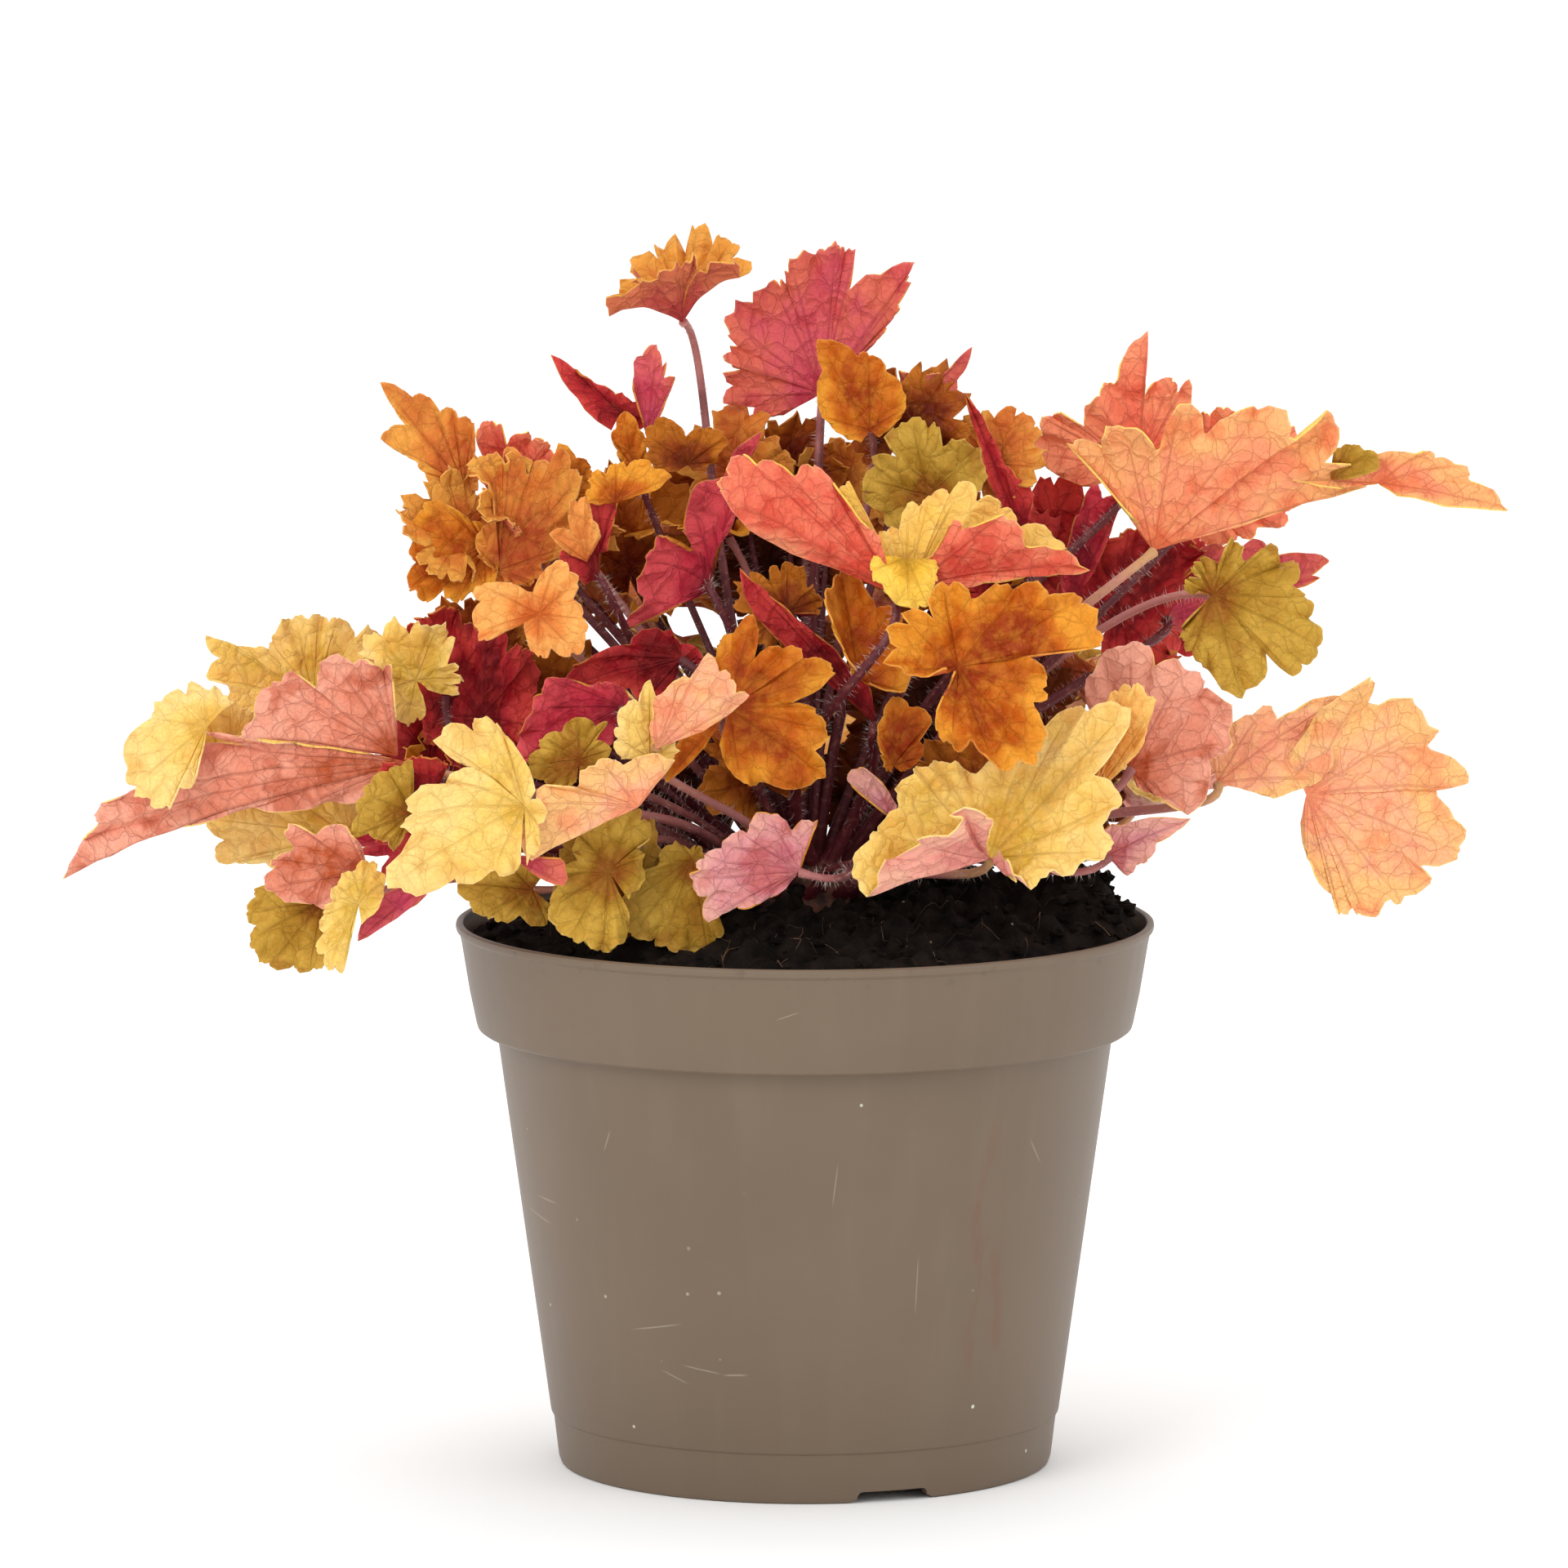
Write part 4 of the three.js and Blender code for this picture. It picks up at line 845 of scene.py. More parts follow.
LEAF_FINISHES = {}
for tint, upper, under in [
    ("gold",
     [(0.84, 0.67, 0.26), (0.94, 0.77, 0.40), (0.96, 0.81, 0.50), (0.74, 0.60, 0.24)],
     [(0.88, 0.54, 0.50), (0.93, 0.64, 0.57), (0.95, 0.72, 0.60), (0.70, 0.34, 0.30)]),
    ("blush",
     [(0.80, 0.52, 0.16), (0.94, 0.74, 0.32), (0.97, 0.78, 0.42), (0.70, 0.50, 0.18)],
     [(0.70, 0.31, 0.13), (0.87, 0.53, 0.42), (0.92, 0.64, 0.54), (0.60, 0.26, 0.20)]),
    ("apricot",
     [(0.80, 0.40, 0.16), (0.89, 0.54, 0.25), (0.95, 0.66, 0.35), (0.68, 0.32, 0.13)],
     [(0.52, 0.06, 0.08), (0.68, 0.13, 0.15), (0.80, 0.28, 0.22), (0.40, 0.04, 0.07)]),
    ("amber",
     [(0.58, 0.20, 0.02), (0.75, 0.37, 0.05), (0.88, 0.58, 0.17), (0.52, 0.24, 0.03)],
     [(0.64, 0.22, 0.18), (0.74, 0.32, 0.22), (0.84, 0.48, 0.26), (0.50, 0.14, 0.12)]),
    ("bronze",
     [(0.68, 0.29, 0.12), (0.80, 0.44, 0.17), (0.87, 0.60, 0.25), (0.58, 0.26, 0.10)],
     [(0.68, 0.24, 0.26), (0.76, 0.34, 0.30), (0.82, 0.46, 0.32), (0.50, 0.14, 0.14)]),
    ("olive",
     [(0.54, 0.29, 0.05), (0.63, 0.46, 0.11), (0.76, 0.60, 0.23), (0.44, 0.30, 0.06)],
     [(0.78, 0.46, 0.44), (0.82, 0.54, 0.46), (0.85, 0.60, 0.44), (0.55, 0.24, 0.24)]),
    ("russet",
     [(0.40, 0.11, 0.02), (0.55, 0.23, 0.03), (0.72, 0.42, 0.10), (0.36, 0.11, 0.02)],
     [(0.42, 0.05, 0.08), (0.58, 0.12, 0.15), (0.74, 0.30, 0.24), (0.32, 0.04, 0.06)]),
    # A very dark brown finish that is painted shade, for young leaves deep in the plant's middle.
    ("dusk",
     [(0.17, 0.05, 0.02), (0.27, 0.09, 0.02), (0.44, 0.19, 0.05), (0.15, 0.04, 0.02)],
     [(0.22, 0.02, 0.04), (0.33, 0.05, 0.08), (0.48, 0.13, 0.12), (0.18, 0.01, 0.03)]),
    ("peach",
     [(0.88, 0.58, 0.24), (0.95, 0.70, 0.36), (0.97, 0.78, 0.44), (0.78, 0.46, 0.20)],
     [(0.92, 0.59, 0.46), (0.94, 0.67, 0.51), (0.95, 0.73, 0.47), (0.74, 0.38, 0.28)]),
    ("flame",
     [(0.82, 0.60, 0.16), (0.94, 0.74, 0.28), (0.97, 0.79, 0.36), (0.72, 0.50, 0.16)],
     [(0.87, 0.45, 0.30), (0.93, 0.57, 0.42), (0.95, 0.68, 0.44), (0.72, 0.34, 0.22)]),
    ("coral",
     [(0.72, 0.54, 0.10), (0.92, 0.70, 0.20), (0.98, 0.79, 0.32), (0.66, 0.46, 0.10)],
     [(0.80, 0.29, 0.22), (0.91, 0.44, 0.34), (0.95, 0.58, 0.43), (0.66, 0.18, 0.15)]),
    ("rose",
     [(0.64, 0.30, 0.05), (0.78, 0.46, 0.12), (0.86, 0.58, 0.20), (0.52, 0.24, 0.06)],
     [(0.74, 0.40, 0.43), (0.83, 0.55, 0.56), (0.88, 0.64, 0.58), (0.56, 0.20, 0.24)]),
    ("berry",
     [(0.60, 0.24, 0.05), (0.76, 0.40, 0.10), (0.86, 0.54, 0.18), (0.50, 0.20, 0.06)],
     [(0.74, 0.25, 0.35), (0.81, 0.34, 0.38), (0.84, 0.42, 0.34), (0.58, 0.14, 0.20)]),
    ("magenta",
     [(0.40, 0.13, 0.03), (0.58, 0.27, 0.05), (0.74, 0.44, 0.12), (0.36, 0.12, 0.04)],
     [(0.52, 0.06, 0.15), (0.70, 0.14, 0.22), (0.82, 0.30, 0.32), (0.42, 0.04, 0.12)]),
    ("crimson",
     [(0.42, 0.12, 0.02), (0.60, 0.25, 0.04), (0.78, 0.44, 0.12), (0.38, 0.10, 0.03)],
     [(0.42, 0.03, 0.06), (0.62, 0.08, 0.13), (0.78, 0.24, 0.22), (0.34, 0.02, 0.06)]),
]:
    LEAF_FINISHES[tint] = [
        leaf_finish(tint + "_upper", *upper, under=False),
        leaf_finish(tint + "_under", *under, under=True),
    ]

# ---------------------------------------------------------------- the leaves: the top of the plant
# Each leaf is one blade, or one folded so hard that its halves are blades of their own, or a bunch of young
# leaves. A blade has the point where the stalk joins it, the tip of its middle lobe and the way its upper
# side faces, as azimuth and elevation, in mm and degrees as in the solids.
leaf(
    "top_funnel", "amber",
    blade((-21, 6, 196.5), (-17, 11, 212), (-90, 65), tint="bronze", bow=-0.10, sharp=0.8, bite=0.2, rim=[
        (3.5, 9, 9.3), (10.7, 3, 9.1), (9.5, 0, 11.2), (9.2, -3, 13.5), (5.5, -4, 12), (3, -7, 15.7),
        (0.5, -7, 12.2), (-4, -7, 12.7), (-4.5, -5, 11), (-9, -3, 8.8), (-6, 0, 7.2), (-13, 4, 2.8),
        (-8, 6, 5.9), (-7.5, 9, 8.5), (-5.5, 9, 6.8), (-1.5, 10, 10.1), (0, 10, 9.6), (2.5, 10, 12.1),
        (3, 9.5, 10)]),
)
leaf(
    "top_red", "rose",
    blade((3, 8, 184), (4, 12, 209.5), (88, 5), tint="berry", sharp=0.5, bite=0.24, teeth=3, rim=[
        (-7, 1, -4), (-16.8, 1, -0.5), (-14, 1, 4.3), (-16.8, 2, 6), (-14.5, 1, 8), (-16.5, 1, 13),
        (-11.8, 0, 15.3), (-8.5, 0, 19.3), (-6.3, 0, 18.8), (-5.5, 0, 23), (-1.2, 0, 23.6), (2.2, -1, 26),
        (3.8, -1, 24.2), (5.6, -1, 24.4), (4.6, 0, 17.8), (15.4, 1, 21.9), (13.9, 1, 18.7), (15, 2, 19),
        (12.8, 2, 15.3), (13.3, 2, 15), (10.7, 1, 11.4), (10.4, 1, 10.6), (7.2, 0, 6.8)]),
)
leaf(
    "top_orange", "amber",
    blade((11, -6, 179), (4, -8, 194), (-100, 12), rim=[
        (1.5, 0, -1.1), (6.4, 0, 3.9), (3.2, 0, 9.9), (0, 0, 13.2), (-2.2, 1, 12.9), (-9, 2, 15.9),
        (-8.2, 1, 10.7), (-7.8, 2, 2.4), (-1.5, 1, -2.1)]),
)
leaf(
    "top_bunch_right", "russet",
    blade((17, -2, 177), (24, -4, 188), (-90, 20)),
    blade((18, -3, 182), (28.5, -3, 192.5), (90, 20), tint="bronze", rim=[
        (-1, 0, 2), (-2, 0, 7), (1, 0, 5), (4, 0, 6.5), (5.5, 0, 6), (10.5, 0, 10.8), (8, 0, 5),
        (6.5, 0, 1.5), (3, 0, -1.5)]),
    blade((21, -7, 168), (18, -9, 181), (-95, 15), width=0.85, tint="olive"),
    blade((37, -6, 161), (27, -6, 185), (90, 10), tint="crimson", roll=0.4, rim=[
        (-2.5, 0, 3), (-6, 0, 10), (-7, 0, 14.5), (-9.8, 0, 24.5), (-6, 0, 18.5), (-3, 0, 12),
        (-1, 0, 10), (2, 0, 7), (1, 0, 2)]),
    blade((32, -2, 173), (38, 0, 181), (-70, 40), fold=[50, 50], tint="bronze"),
)
leaf(
    "top_bunch_left", "russet",
    blade((-29, -4, 172), (-31, -4, 182), (-100, 20), tint="amber", roll=0.4, rim=[
        (1, 0, 0), (2, 0, 3.4), (0.7, 0, 7.4), (-2, 1, 10.3), (-3.2, 1, 7.5), (-4, 1, 5.5), (-3, 1, 3.5),
        (-2.5, 1, 1.5), (-1, 0, -0.5)]),
    blade((-27, -3, 178), (-28.5, -5, 190), (90, 5), tint="berry", roll=0.4, rim=[
        (-0.6, 0, 2), (-2.3, 0, 7.7), (-2.3, 0, 8.5), (-2.3, 0, 9.7), (-2.1, 0, 9.9), (-2.2, 0, 12.2),
        (-0.8, 0, 13.6), (1.7, 0, 15.3), (2.6, 0, 11.3), (3.3, 0, 12.4), (2.8, 0, 9.6), (4.9, 0, 10),
        (3.8, 0, 7.2), (3.2, 0, 5.8), (2, 0, 2.8)]),
    blade((-30, -0.6, 181), (-44, 0, 192), (70, 30), tint="crimson", knee=(-5, 0, 1.5), rim=[
        (-2.8, 1, -2.7), (-14.3, 0, 11.2), (-9.9, 0, 8.3), (-7.4, 0, 7.8), (-5, 0, 5.6), (-2, 0, 4.1),
        (0, 0, 3), (3, 0, -0.6), (1, 0, -2.6)]),
    blade((-20, -5, 173), (-22, -5, 183), (-90, 30), roll=0.4, rim=[
        (1, 1, -1), (4, 1, 0.5), (6, 1, 2.7), (6.7, 0, 4.6), (4.8, 0, 6), (3, 0, 6.2), (-0.3, 0, 4.9),
        (-3.5, 0, 8.2), (-5.8, 0, 7.2), (-7.1, 1, 5.2), (-6.9, 1, 2.4), (-6, 2, 0.3), (-2, 1, -1.2)]),
)

# ---------------------------------------------------------------- the leaves: the right-hand side
# Two long leaves reach out past the pot, the upper one folded into a trough. Red and rose ones stand behind
# them and an olive one hangs between. Each is held by its own stalk alone.
leaf(
    "right_red", "coral",
    blade((57, 9, 170.6), (60, 13, 193), (90, 8), roll=0.4, rim=[
        (-8, 0, -3), (-18, 0, 3), (-16, 0, 6), (-16.5, 1, 9.5), (-14.5, 1, 9), (-13.3, 1, 10.4),
        (-9, 0, 7.4), (-7, 2, 13), (-4, 1, 15), (1.8, 0, 24.1), (1.3, -1, 13), (6, 0, 16), (6.8, 0, 13.1),
        (9, 0, 16.2), (7, 0, 4)]),
)
leaf(
    "right_trough", "peach",
    blade((59, -18, 159.8), (118, -26, 168.3), (90, 20), tint="flame", roll=0.4, rim=[
        (-1.5, 0, 3), (-14.5, -2, 18.5), (-9.5, 0, 17.5), (-5, 2, 21.5), (1, 4, 17), (4.2, 3, 26.5),
        (8.5, 4, 19.7), (18.5, 5, 24.2), (24, 6, 19.2), (30, 3, 23.6), (30, 4, 16.5), (36, 1, 10.5),
        (20, 0, 5.5)]),
    blade((97, -19, 171.3), (118, -26, 168.3), (90, 20), tint="flame", rim=[
        (-3, 1, -0.6), (-15, 2, 0.5), (-4, 1, 2.2), (6.5, 0, 5.4), (10, 0, 4.2), (13, 0, 3.5),
        (16, 1, 0.6), (22, 3, -4), (3, 2, -1.8)]),
    blade((89, -20.4, 172.2), (97, -18.2, 176.3), (-95, 20), tint="olive", roll=0.2, rim=[
        (2, 0, 0), (7.5, 1, 1.5), (8, 1, 3), (7, 1, 5), (5.5, 1, 5), (3, 1, 6), (1.5, 1, 5.4),
        (0.5, 1, 5), (0, 0, 1)]),
)
leaf(
    "right_coral", "coral",
    blade((69, 17, 164.5), (78, 21, 179), (90, 12), rim=[
        (-3, 0, 4), (-1.5, 0, 14.9), (1, 0, 15), (3.5, 0, 16.2), (5.8, 0, 13.4), (10, 0, 15.1),
        (12, 0, 13.8), (15.3, 0, 12.4), (15, 0, 6), (16, 1, 0), (14, 1, -2), (14, 1, -4), (9, 1, -4.5),
        (8, 1, -6.5), (6, 1, -6), (4, 1, -7.5), (-2, 0, -6)]),
)
leaf(
    "right_magenta", "magenta",
    blade((62, 8, 145), (89.5, 10, 153), (90, 15), tint="berry", rim=[
        (-2, 0, 3), (-1.5, 0, 11.7), (4, 0, 10), (9.5, 0, 13.2), (12.5, 0, 11.7), (15.5, 0, 13.7),
        (18, 0, 10.5), (28.7, 1, 9.8), (24.9, 1, 7.7), (26.2, 1, 7.3), (18.8, 1, 4.7), (10.5, 1, 0.8),
        (2.5, 0, -2.7)]),
    blade((54, 5, 146), (66, 6, 160), (90, 10), width=0.7, tint="crimson"),
)
leaf(
    "right_strip", "magenta",
    blade((46, 0, 149), (50, 2, 169), (100, 0), roll=0.2, rim=[
        (-2, 0, 1.4), (-0.5, 0, 12), (1, 0, 15), (3.2, 0, 19.8), (5, 0, 18), (8, 0, 16.9), (3.5, 0, 5)]),
)
leaf(
    "right_olive", "olive",
    blade((69, -21, 152.5), (84, -22.3, 138), (-85, 25), roll=0.6, sharp=0.4, bite=0.2, frill=0.09, rim=[
        (-2.6, 1, -2.5), (-5.4, 1, -5.4), (-5, 1, -8), (-3.5, 1, -10), (-0.5, 1, -12.5), (5, 2, -17.7),
        (9.3, 1, -9.7), (13.8, 2, -13.7), (15, 1, -11.5), (19.5, 0, -9), (16.8, 0, -4), (16.3, 0, -0.7),
        (13.8, -1, 1.5), (14.2, -1, 6.3), (11.3, -1, 5.4), (10.2, -1, 8.5), (5.5, 0, 5.8), (3.2, 0, 10),
        (1, 0, 5.5), (-3, 1, 5.8), (-3, 1, 3.5), (-5, 1, 2), (-2.5, 1, 0.8)]),
)
leaf(
    "right_rose", "rose",
    blade((55, -30, 124), (68, -32, 141.5), (85, 15), tint="blush", rim=[
        (-5, 0, 5), (-8, 1, 13), (-6.2, 1, 17), (0, 1, 21.5), (4.1, 0, 18.2), (9, -1, 17),
        (13.1, -1, 13.2), (17.3, -1, 5), (13.1, 0, 1.2), (9.5, 1, -7.5), (5, 1, -4.5), (3, 0, -4),
        (1, 0, -2.5)]),
)
leaf(
    "right_far", "peach",
    blade((70, -22, 120.5), (112, -25, 121.3), (92, 25), rim=[
        (-1.8, 0, 5), (7.9, 0, 13), (9.6, 0, 10.6), (21, 0, 15), (19, 0, 8), (17.5, 0, 1), (8, 0, -2.4)]),
    blade((85, -22.4, 118.5), (108, -26, 105), (92, 25), rim=[
        (-3, 0, 6), (10.5, 0, 21), (11.2, 0, 16.2), (20.9, 0, 12.6), (21.2, 0, 7), (28.3, 2, 2.4),
        (21.9, 2, 0.3), (25.9, 4, -9.3), (20.2, 5, -11.5), (16, 6, -17.5), (14, 6, -16.8), (10, 6, -20),
        (8, 6, -18.7), (5.7, 6, -20), (4.2, 6, -16), (-0.1, 5, -10.7), (-0.5, 2, -4)]),
)

# ---------------------------------------------------------------- the leaves: the front on the right
# Large soft gold and amber leaves lean out over the rim under a coral one folded like a boat, with small
# rolled or half-hidden ones between them.
leaf(
    "front_gold_right", "gold",
    blade((31, -46, 111), (53, -44, 137), (-80, 40), bow=0.03, rim=[
        (2, 4, 0.8), (4.5, 6, -3.6), (11, 6, -2.5), (19.3, 6, 2.9), (19.2, 5, 5.7), (21.3, 4, 10.6),
        (18.5, 2, 13.8), (23, -2, 25.7), (16.3, -3, 24.6), (13.5, -4, 25), (9.5, -4, 22), (5, -4, 16.4),
        (-2.5, -4, 13.6), (-8, -3, 16), (-10.5, -2, 15), (-13, -2, 14.7), (-16, 0, 8), (-18.5, 3, 4.9),
        (-21, 5, 3.2), (-22.5, 8, -1.9), (-20.5, 10, -4.6), (-13, 12, 4.4), (-6.5, 12, 6.2),
        (-5, 12, 10.4), (-1, 10, 5.4)]),
)
leaf(
    "front_peach_strip", "peach",
    blade((48, -38, 120), (58, -36, 137.3), (-60, 20), rim=[
        (1.5, 0, 3), (8, 0, 8), (9, 0, 11), (11, 0, 16.5), (9.5, 0, 17.3), (8, 0, 19.3), (6.5, 0, 18.6),
        (5.5, 0, 19.5), (4.5, 0, 18), (3, 0, 18), (1.5, 0, 9)]),
)
leaf(
    "front_rolled", "rose",
    blade((15, -36, 116), (7, -36, 124), (100, 10), rim=[
        (-0.6, 0, 0.4), (-6.2, 0, 5.1), (-7.5, 1, 6.6), (-8.2, 1, 7.8), (-6.5, 1, 8.8), (-4.5, 1, 8.8),
        (0.5, 0, 2.5)]),
)
leaf(
    "front_low_rose", "rose",
    blade((51, -40, 110.5), (64, -42, 115.5), (90, 20), rim=[
        (-0.7, 0, 1.3), (-1, 0, 4.3), (2, 0, 5.1), (13.8, 1, 6.5), (8, 1, 2.4), (6.5, 1, -0.6),
        (4.5, 1, -1.5), (3.1, 1, -3.2), (0.5, 0, -0.5)]),
)
leaf(
    "front_funnel", "amber",
    blade((25.5, -44, 143), (35, -50, 128.5), (-88, 25), bow=0.06, rim=[
        (-0.8, 3, -1.3), (-3.4, 6, -6), (-3.5, 7, -9.3), (-1, 8, -11.6), (2.5, 8, -11.6), (6, 9, -14.8),
        (10, 9, -15.5), (13.3, 8, -13.9), (13.3, 6, -5.7), (15.3, 5, -3.1), (11.5, 2, 1.9),
        (23.5, 4, 4.6), (23, 3, 7.3), (20.3, 2, 12), (15.5, 1, 12.1), (10.5, 0, 13.9), (3, 0, 11.4),
        (-2.5, -1, 14), (-5, 2, 9.2), (-9.5, 5, 9.1), (-11.2, 7, 4.9), (-10, 8, 0.1), (-3.5, 6, -1.2)]),
)
leaf(
    "front_coral", "coral",
    blade((15, -35, 154.3), (-13, -38, 172.8), (80, 20), rim=[
        (-18.6, -2, 6.5), (-29.2, 4, 17.8), (-28.3, 4, 20.9), (-25.8, 3, 23.1), (-23.2, 3, 21.9),
        (-20.8, 2, 23), (-17, 2, 19.8), (-13.5, 1, 21.8), (-10.6, 0, 18.9), (-8.6, 0, 16.8), (-3, 1, 9.4)]),
    blade((19, -34, 156), (48, -38, 160.5), (95, 25), rim=[
        (2.3, 0, 4.5), (5.9, 1, 11), (7.3, 1, 8.8), (14.2, 2, 11.7), (17.8, 2, 6.5), (29, 2, 3.9),
        (19, 1, 1.3), (11, 1, 0), (5.5, 0, -1)]),
    blade((17, -30, 153), (18, -27, 171), (-90, 25), tint="blush", roll=0.4, rim=[
        (11.1, -1, 3.1), (27.2, -2, 8.5), (25.5, -2, 10), (21.2, -2, 11.8), (18.1, -2, 10.8),
        (16.8, -2, 15.7), (12.2, -2, 16), (10, -2, 19.8), (7.3, -2, 17.5), (4, -3, 17.4), (2.3, -3, 15.2),
        (0.3, -3, 16), (-1.2, -2, 11.3), (-3.8, -1, 11.2), (-4.6, 0, 10.1), (-9.8, 1, 20.1),
        (-10.2, 1, 19.6), (-12, 2, 17.6), (-12.5, 2, 16), (-13.5, 3, 14.7), (-8, 2, 6)]),
    blade((17, -33, 160), (19, -44, 152), (-90, 40), roll=0.2, rim=[
        (-5.2, 1, 1), (-5.8, 3, -1.8), (-4, 5, -4.2), (0.5, 7, -7.5), (2.2, 7, -7.2), (3.5, 7, -7.1),
        (4.4, 5, -4.5), (4.9, 3, -1.8), (4.8, 1, -0.3)]),
)
leaf(
    "front_red_strip", "crimson",
    blade((12, -26, 131), (-13, -30, 157.2), (80, 20), arch=25, roll=0.2, rim=[
        (-8.6, 0, 7.2), (-19.5, 0, 17), (-21, 0, 19.5), (-23.5, 0, 26.3), (-18, 0, 21.5), (-14, 0, 18.3),
        (-11, 0, 15.5), (-6, 0, 11.5), (-1, 0, 5.8)]),
    blade((15, -26, 124), (16, -28, 137), (-90, 20), tint="amber", rim=[
        (1, 0, -1), (4.6, 0, 1.3), (4.3, 0, 4.3), (6.5, -1, 7.7), (2.5, 0, 10.3), (-0.2, 1, 11.9),
        (-1.8, 1, 8.9), (-2.8, 2, 6.1), (-2.4, 2, 3.1), (-1.5, 2, 0.6), (-0.5, 1, -1)]),
    blade((9, -28, 139), (3, -29, 151), (-90, 20), tint="amber", bow=0.08, rim=[
        (3, 2, -1.2), (8, 2, -1.9), (7, 0, 4.6), (7.5, -1, 11), (3, -2, 11.8), (-3, -3, 18.2),
        (-4.5, -1, 15.5), (-5.5, 2, 13.5), (-4.8, 3, 10.9), (-3.4, 4, 7.2), (-0.8, 4, 1.5)]),
)
leaf("front_amber_small", "russet", blade((-3, -20.5, 149.5), (-11, -20.5, 153.5), (-90, 30)))

# ---------------------------------------------------------------- the leaves: the front on the left
# A long folded leaf and pale gold ones reach out past the rim, olive ones droop to the soil, and crumpled
# young amber and crimson ones crowd together above.
leaf(
    "left_magenta", "magenta",
    blade((-16, -14, 153.2), (-4, -10, 180.2), (60, 10), knee=(-1, 0, 9), rim=[
        (-1, 0, -1), (-15, 2, -7.5), (-11.5, 2, -2.8), (-11.3, 2, 3.7), (-10.3, 2, 6), (-8, 1, 8.7),
        (-3, 0, 4.2), (-3.8, 1, 14.5), (1.7, 0, 18.9), (10.2, -1, 28.4), (3.5, -1, 8.8)]),
)
leaf(
    "left_orange_face", "amber",
    blade((-13, -36, 135), (4.5, -38, 133), (-88, 20), rim=[
        (-1.5, 1, -6.3), (2, 2, -12), (6, 2, -12.3), (16.8, 2, -11.3), (14.5, 2, -7.2), (16.7, 2, -3.3),
        (15, 1, -1), (13.5, 1, 0.8), (10.7, 0, 1), (18, 0, 5.9), (15.5, -1, 8.2), (13.5, -1, 8.2),
        (12.5, -1, 8.1), (10.5, -2, 10.4), (4.7, -2, 8.6), (4.3, -3, 15.6), (0.5, -3, 12.3),
        (-2, -3, 9.3), (-7.5, 1, -4), (-11, 3, -12.5), (-4, 1, -6.5)]),
)
leaf(
    "left_crimson", "crimson",
    blade((-21, -23, 142), (-43, -28, 138.5), (90, 30), rim=[
        (-1, 0, -3.5), (-6, 1, -7.4), (-8.5, 1, -5), (-15, 2, -4.8), (-17.5, 2, -5), (-20.5, 2, -4.6),
        (-18.5, 2, -1.6), (-16.5, 2, 0.4), (-10, 1, 1.5), (-3, 0, 5.1), (0, 0, 2.4), (4.5, 0, -1.4),
        (2.5, 0, -2.9)]),
)
leaf(
    "left_purple", "magenta",
    blade((-31, -33, 135), (-48, -35, 132), (90, 30), rim=[
        (0, 0, -2), (-2, 1, -6.8), (-9.8, 2, -5.4), (-18.3, 3, -9.4), (-17, 2, -6), (-15, 1, -0.3),
        (-13.5, 1, 2), (-11.5, 0, 4.9), (-5, 0, 3.6), (0.5, 0, 3.1), (1, 0, -1)]),
)
leaf(
    "left_peach", "peach",
    blade((-45, -28, 150), (-56, -30, 153), (-90, 30), tint="apricot", rim=[
        (-2.5, 1, -1), (0, 4, -6.7), (2.3, 4, -5.7), (6.5, 4, -6.3), (7.8, 3, -2.7), (7.7, 2, -0.5),
        (6, 1, 2.5), (6.8, 1, 5.8), (5.2, 1, 7.6), (3.2, 0, 9.4), (-1, 0, 3.9), (-10.3, 1, 5.3),
        (-10, 2, 2.2), (-10.3, 3, -2.7), (-9.1, 3, -3.9), (-8.3, 4, -3.8), (-4.2, 2, -2.1)]),
)
leaf(
    "left_fold", "crimson",
    blade((-35, -18, 155), (-23, -18, 169), (80, 20), roll=0.2, knee=(-0.5, 0, 9), rim=[
        (-2.5, 0, -1), (-7.3, 1, 3.6), (-2.5, 0, 4), (-2, 0, 11.5), (1, 0, 13.2), (4.9, 0, 18),
        (3.4, 0, 11.4), (2.6, 0, 7.8), (1, 0, 2.8)]),
    blade((-32, -19, 168), (-23, -21, 174), (-90, 40), tint="amber", roll=0.4, rim=[
        (6, 1, 2), (9.8, 1, 4.2), (6.5, 0, 5.6), (4, 0, 7.4), (1.8, 0, 6.2), (0, 0, 6.8), (-1.7, 0, 4.9),
        (-4, 0, 5.2), (-4.3, 0, 2.6), (-5, 1, 0.7), (-3, 1, -0.3)]),
    blade((-37, -19, 158), (-39, -20, 169), (-90, 10), tint="apricot", roll=0.4, rim=[
        (0.5, 0, 1), (2.3, 0, 4.4), (1, 0, 7.2), (-0.2, 0, 11.1), (-1.6, 0, 9.9), (-3, 0, 10.5),
        (-2.8, 0, 5.5), (-6.5, 0, 4.8), (-3.3, 0, 1.5)]),
)
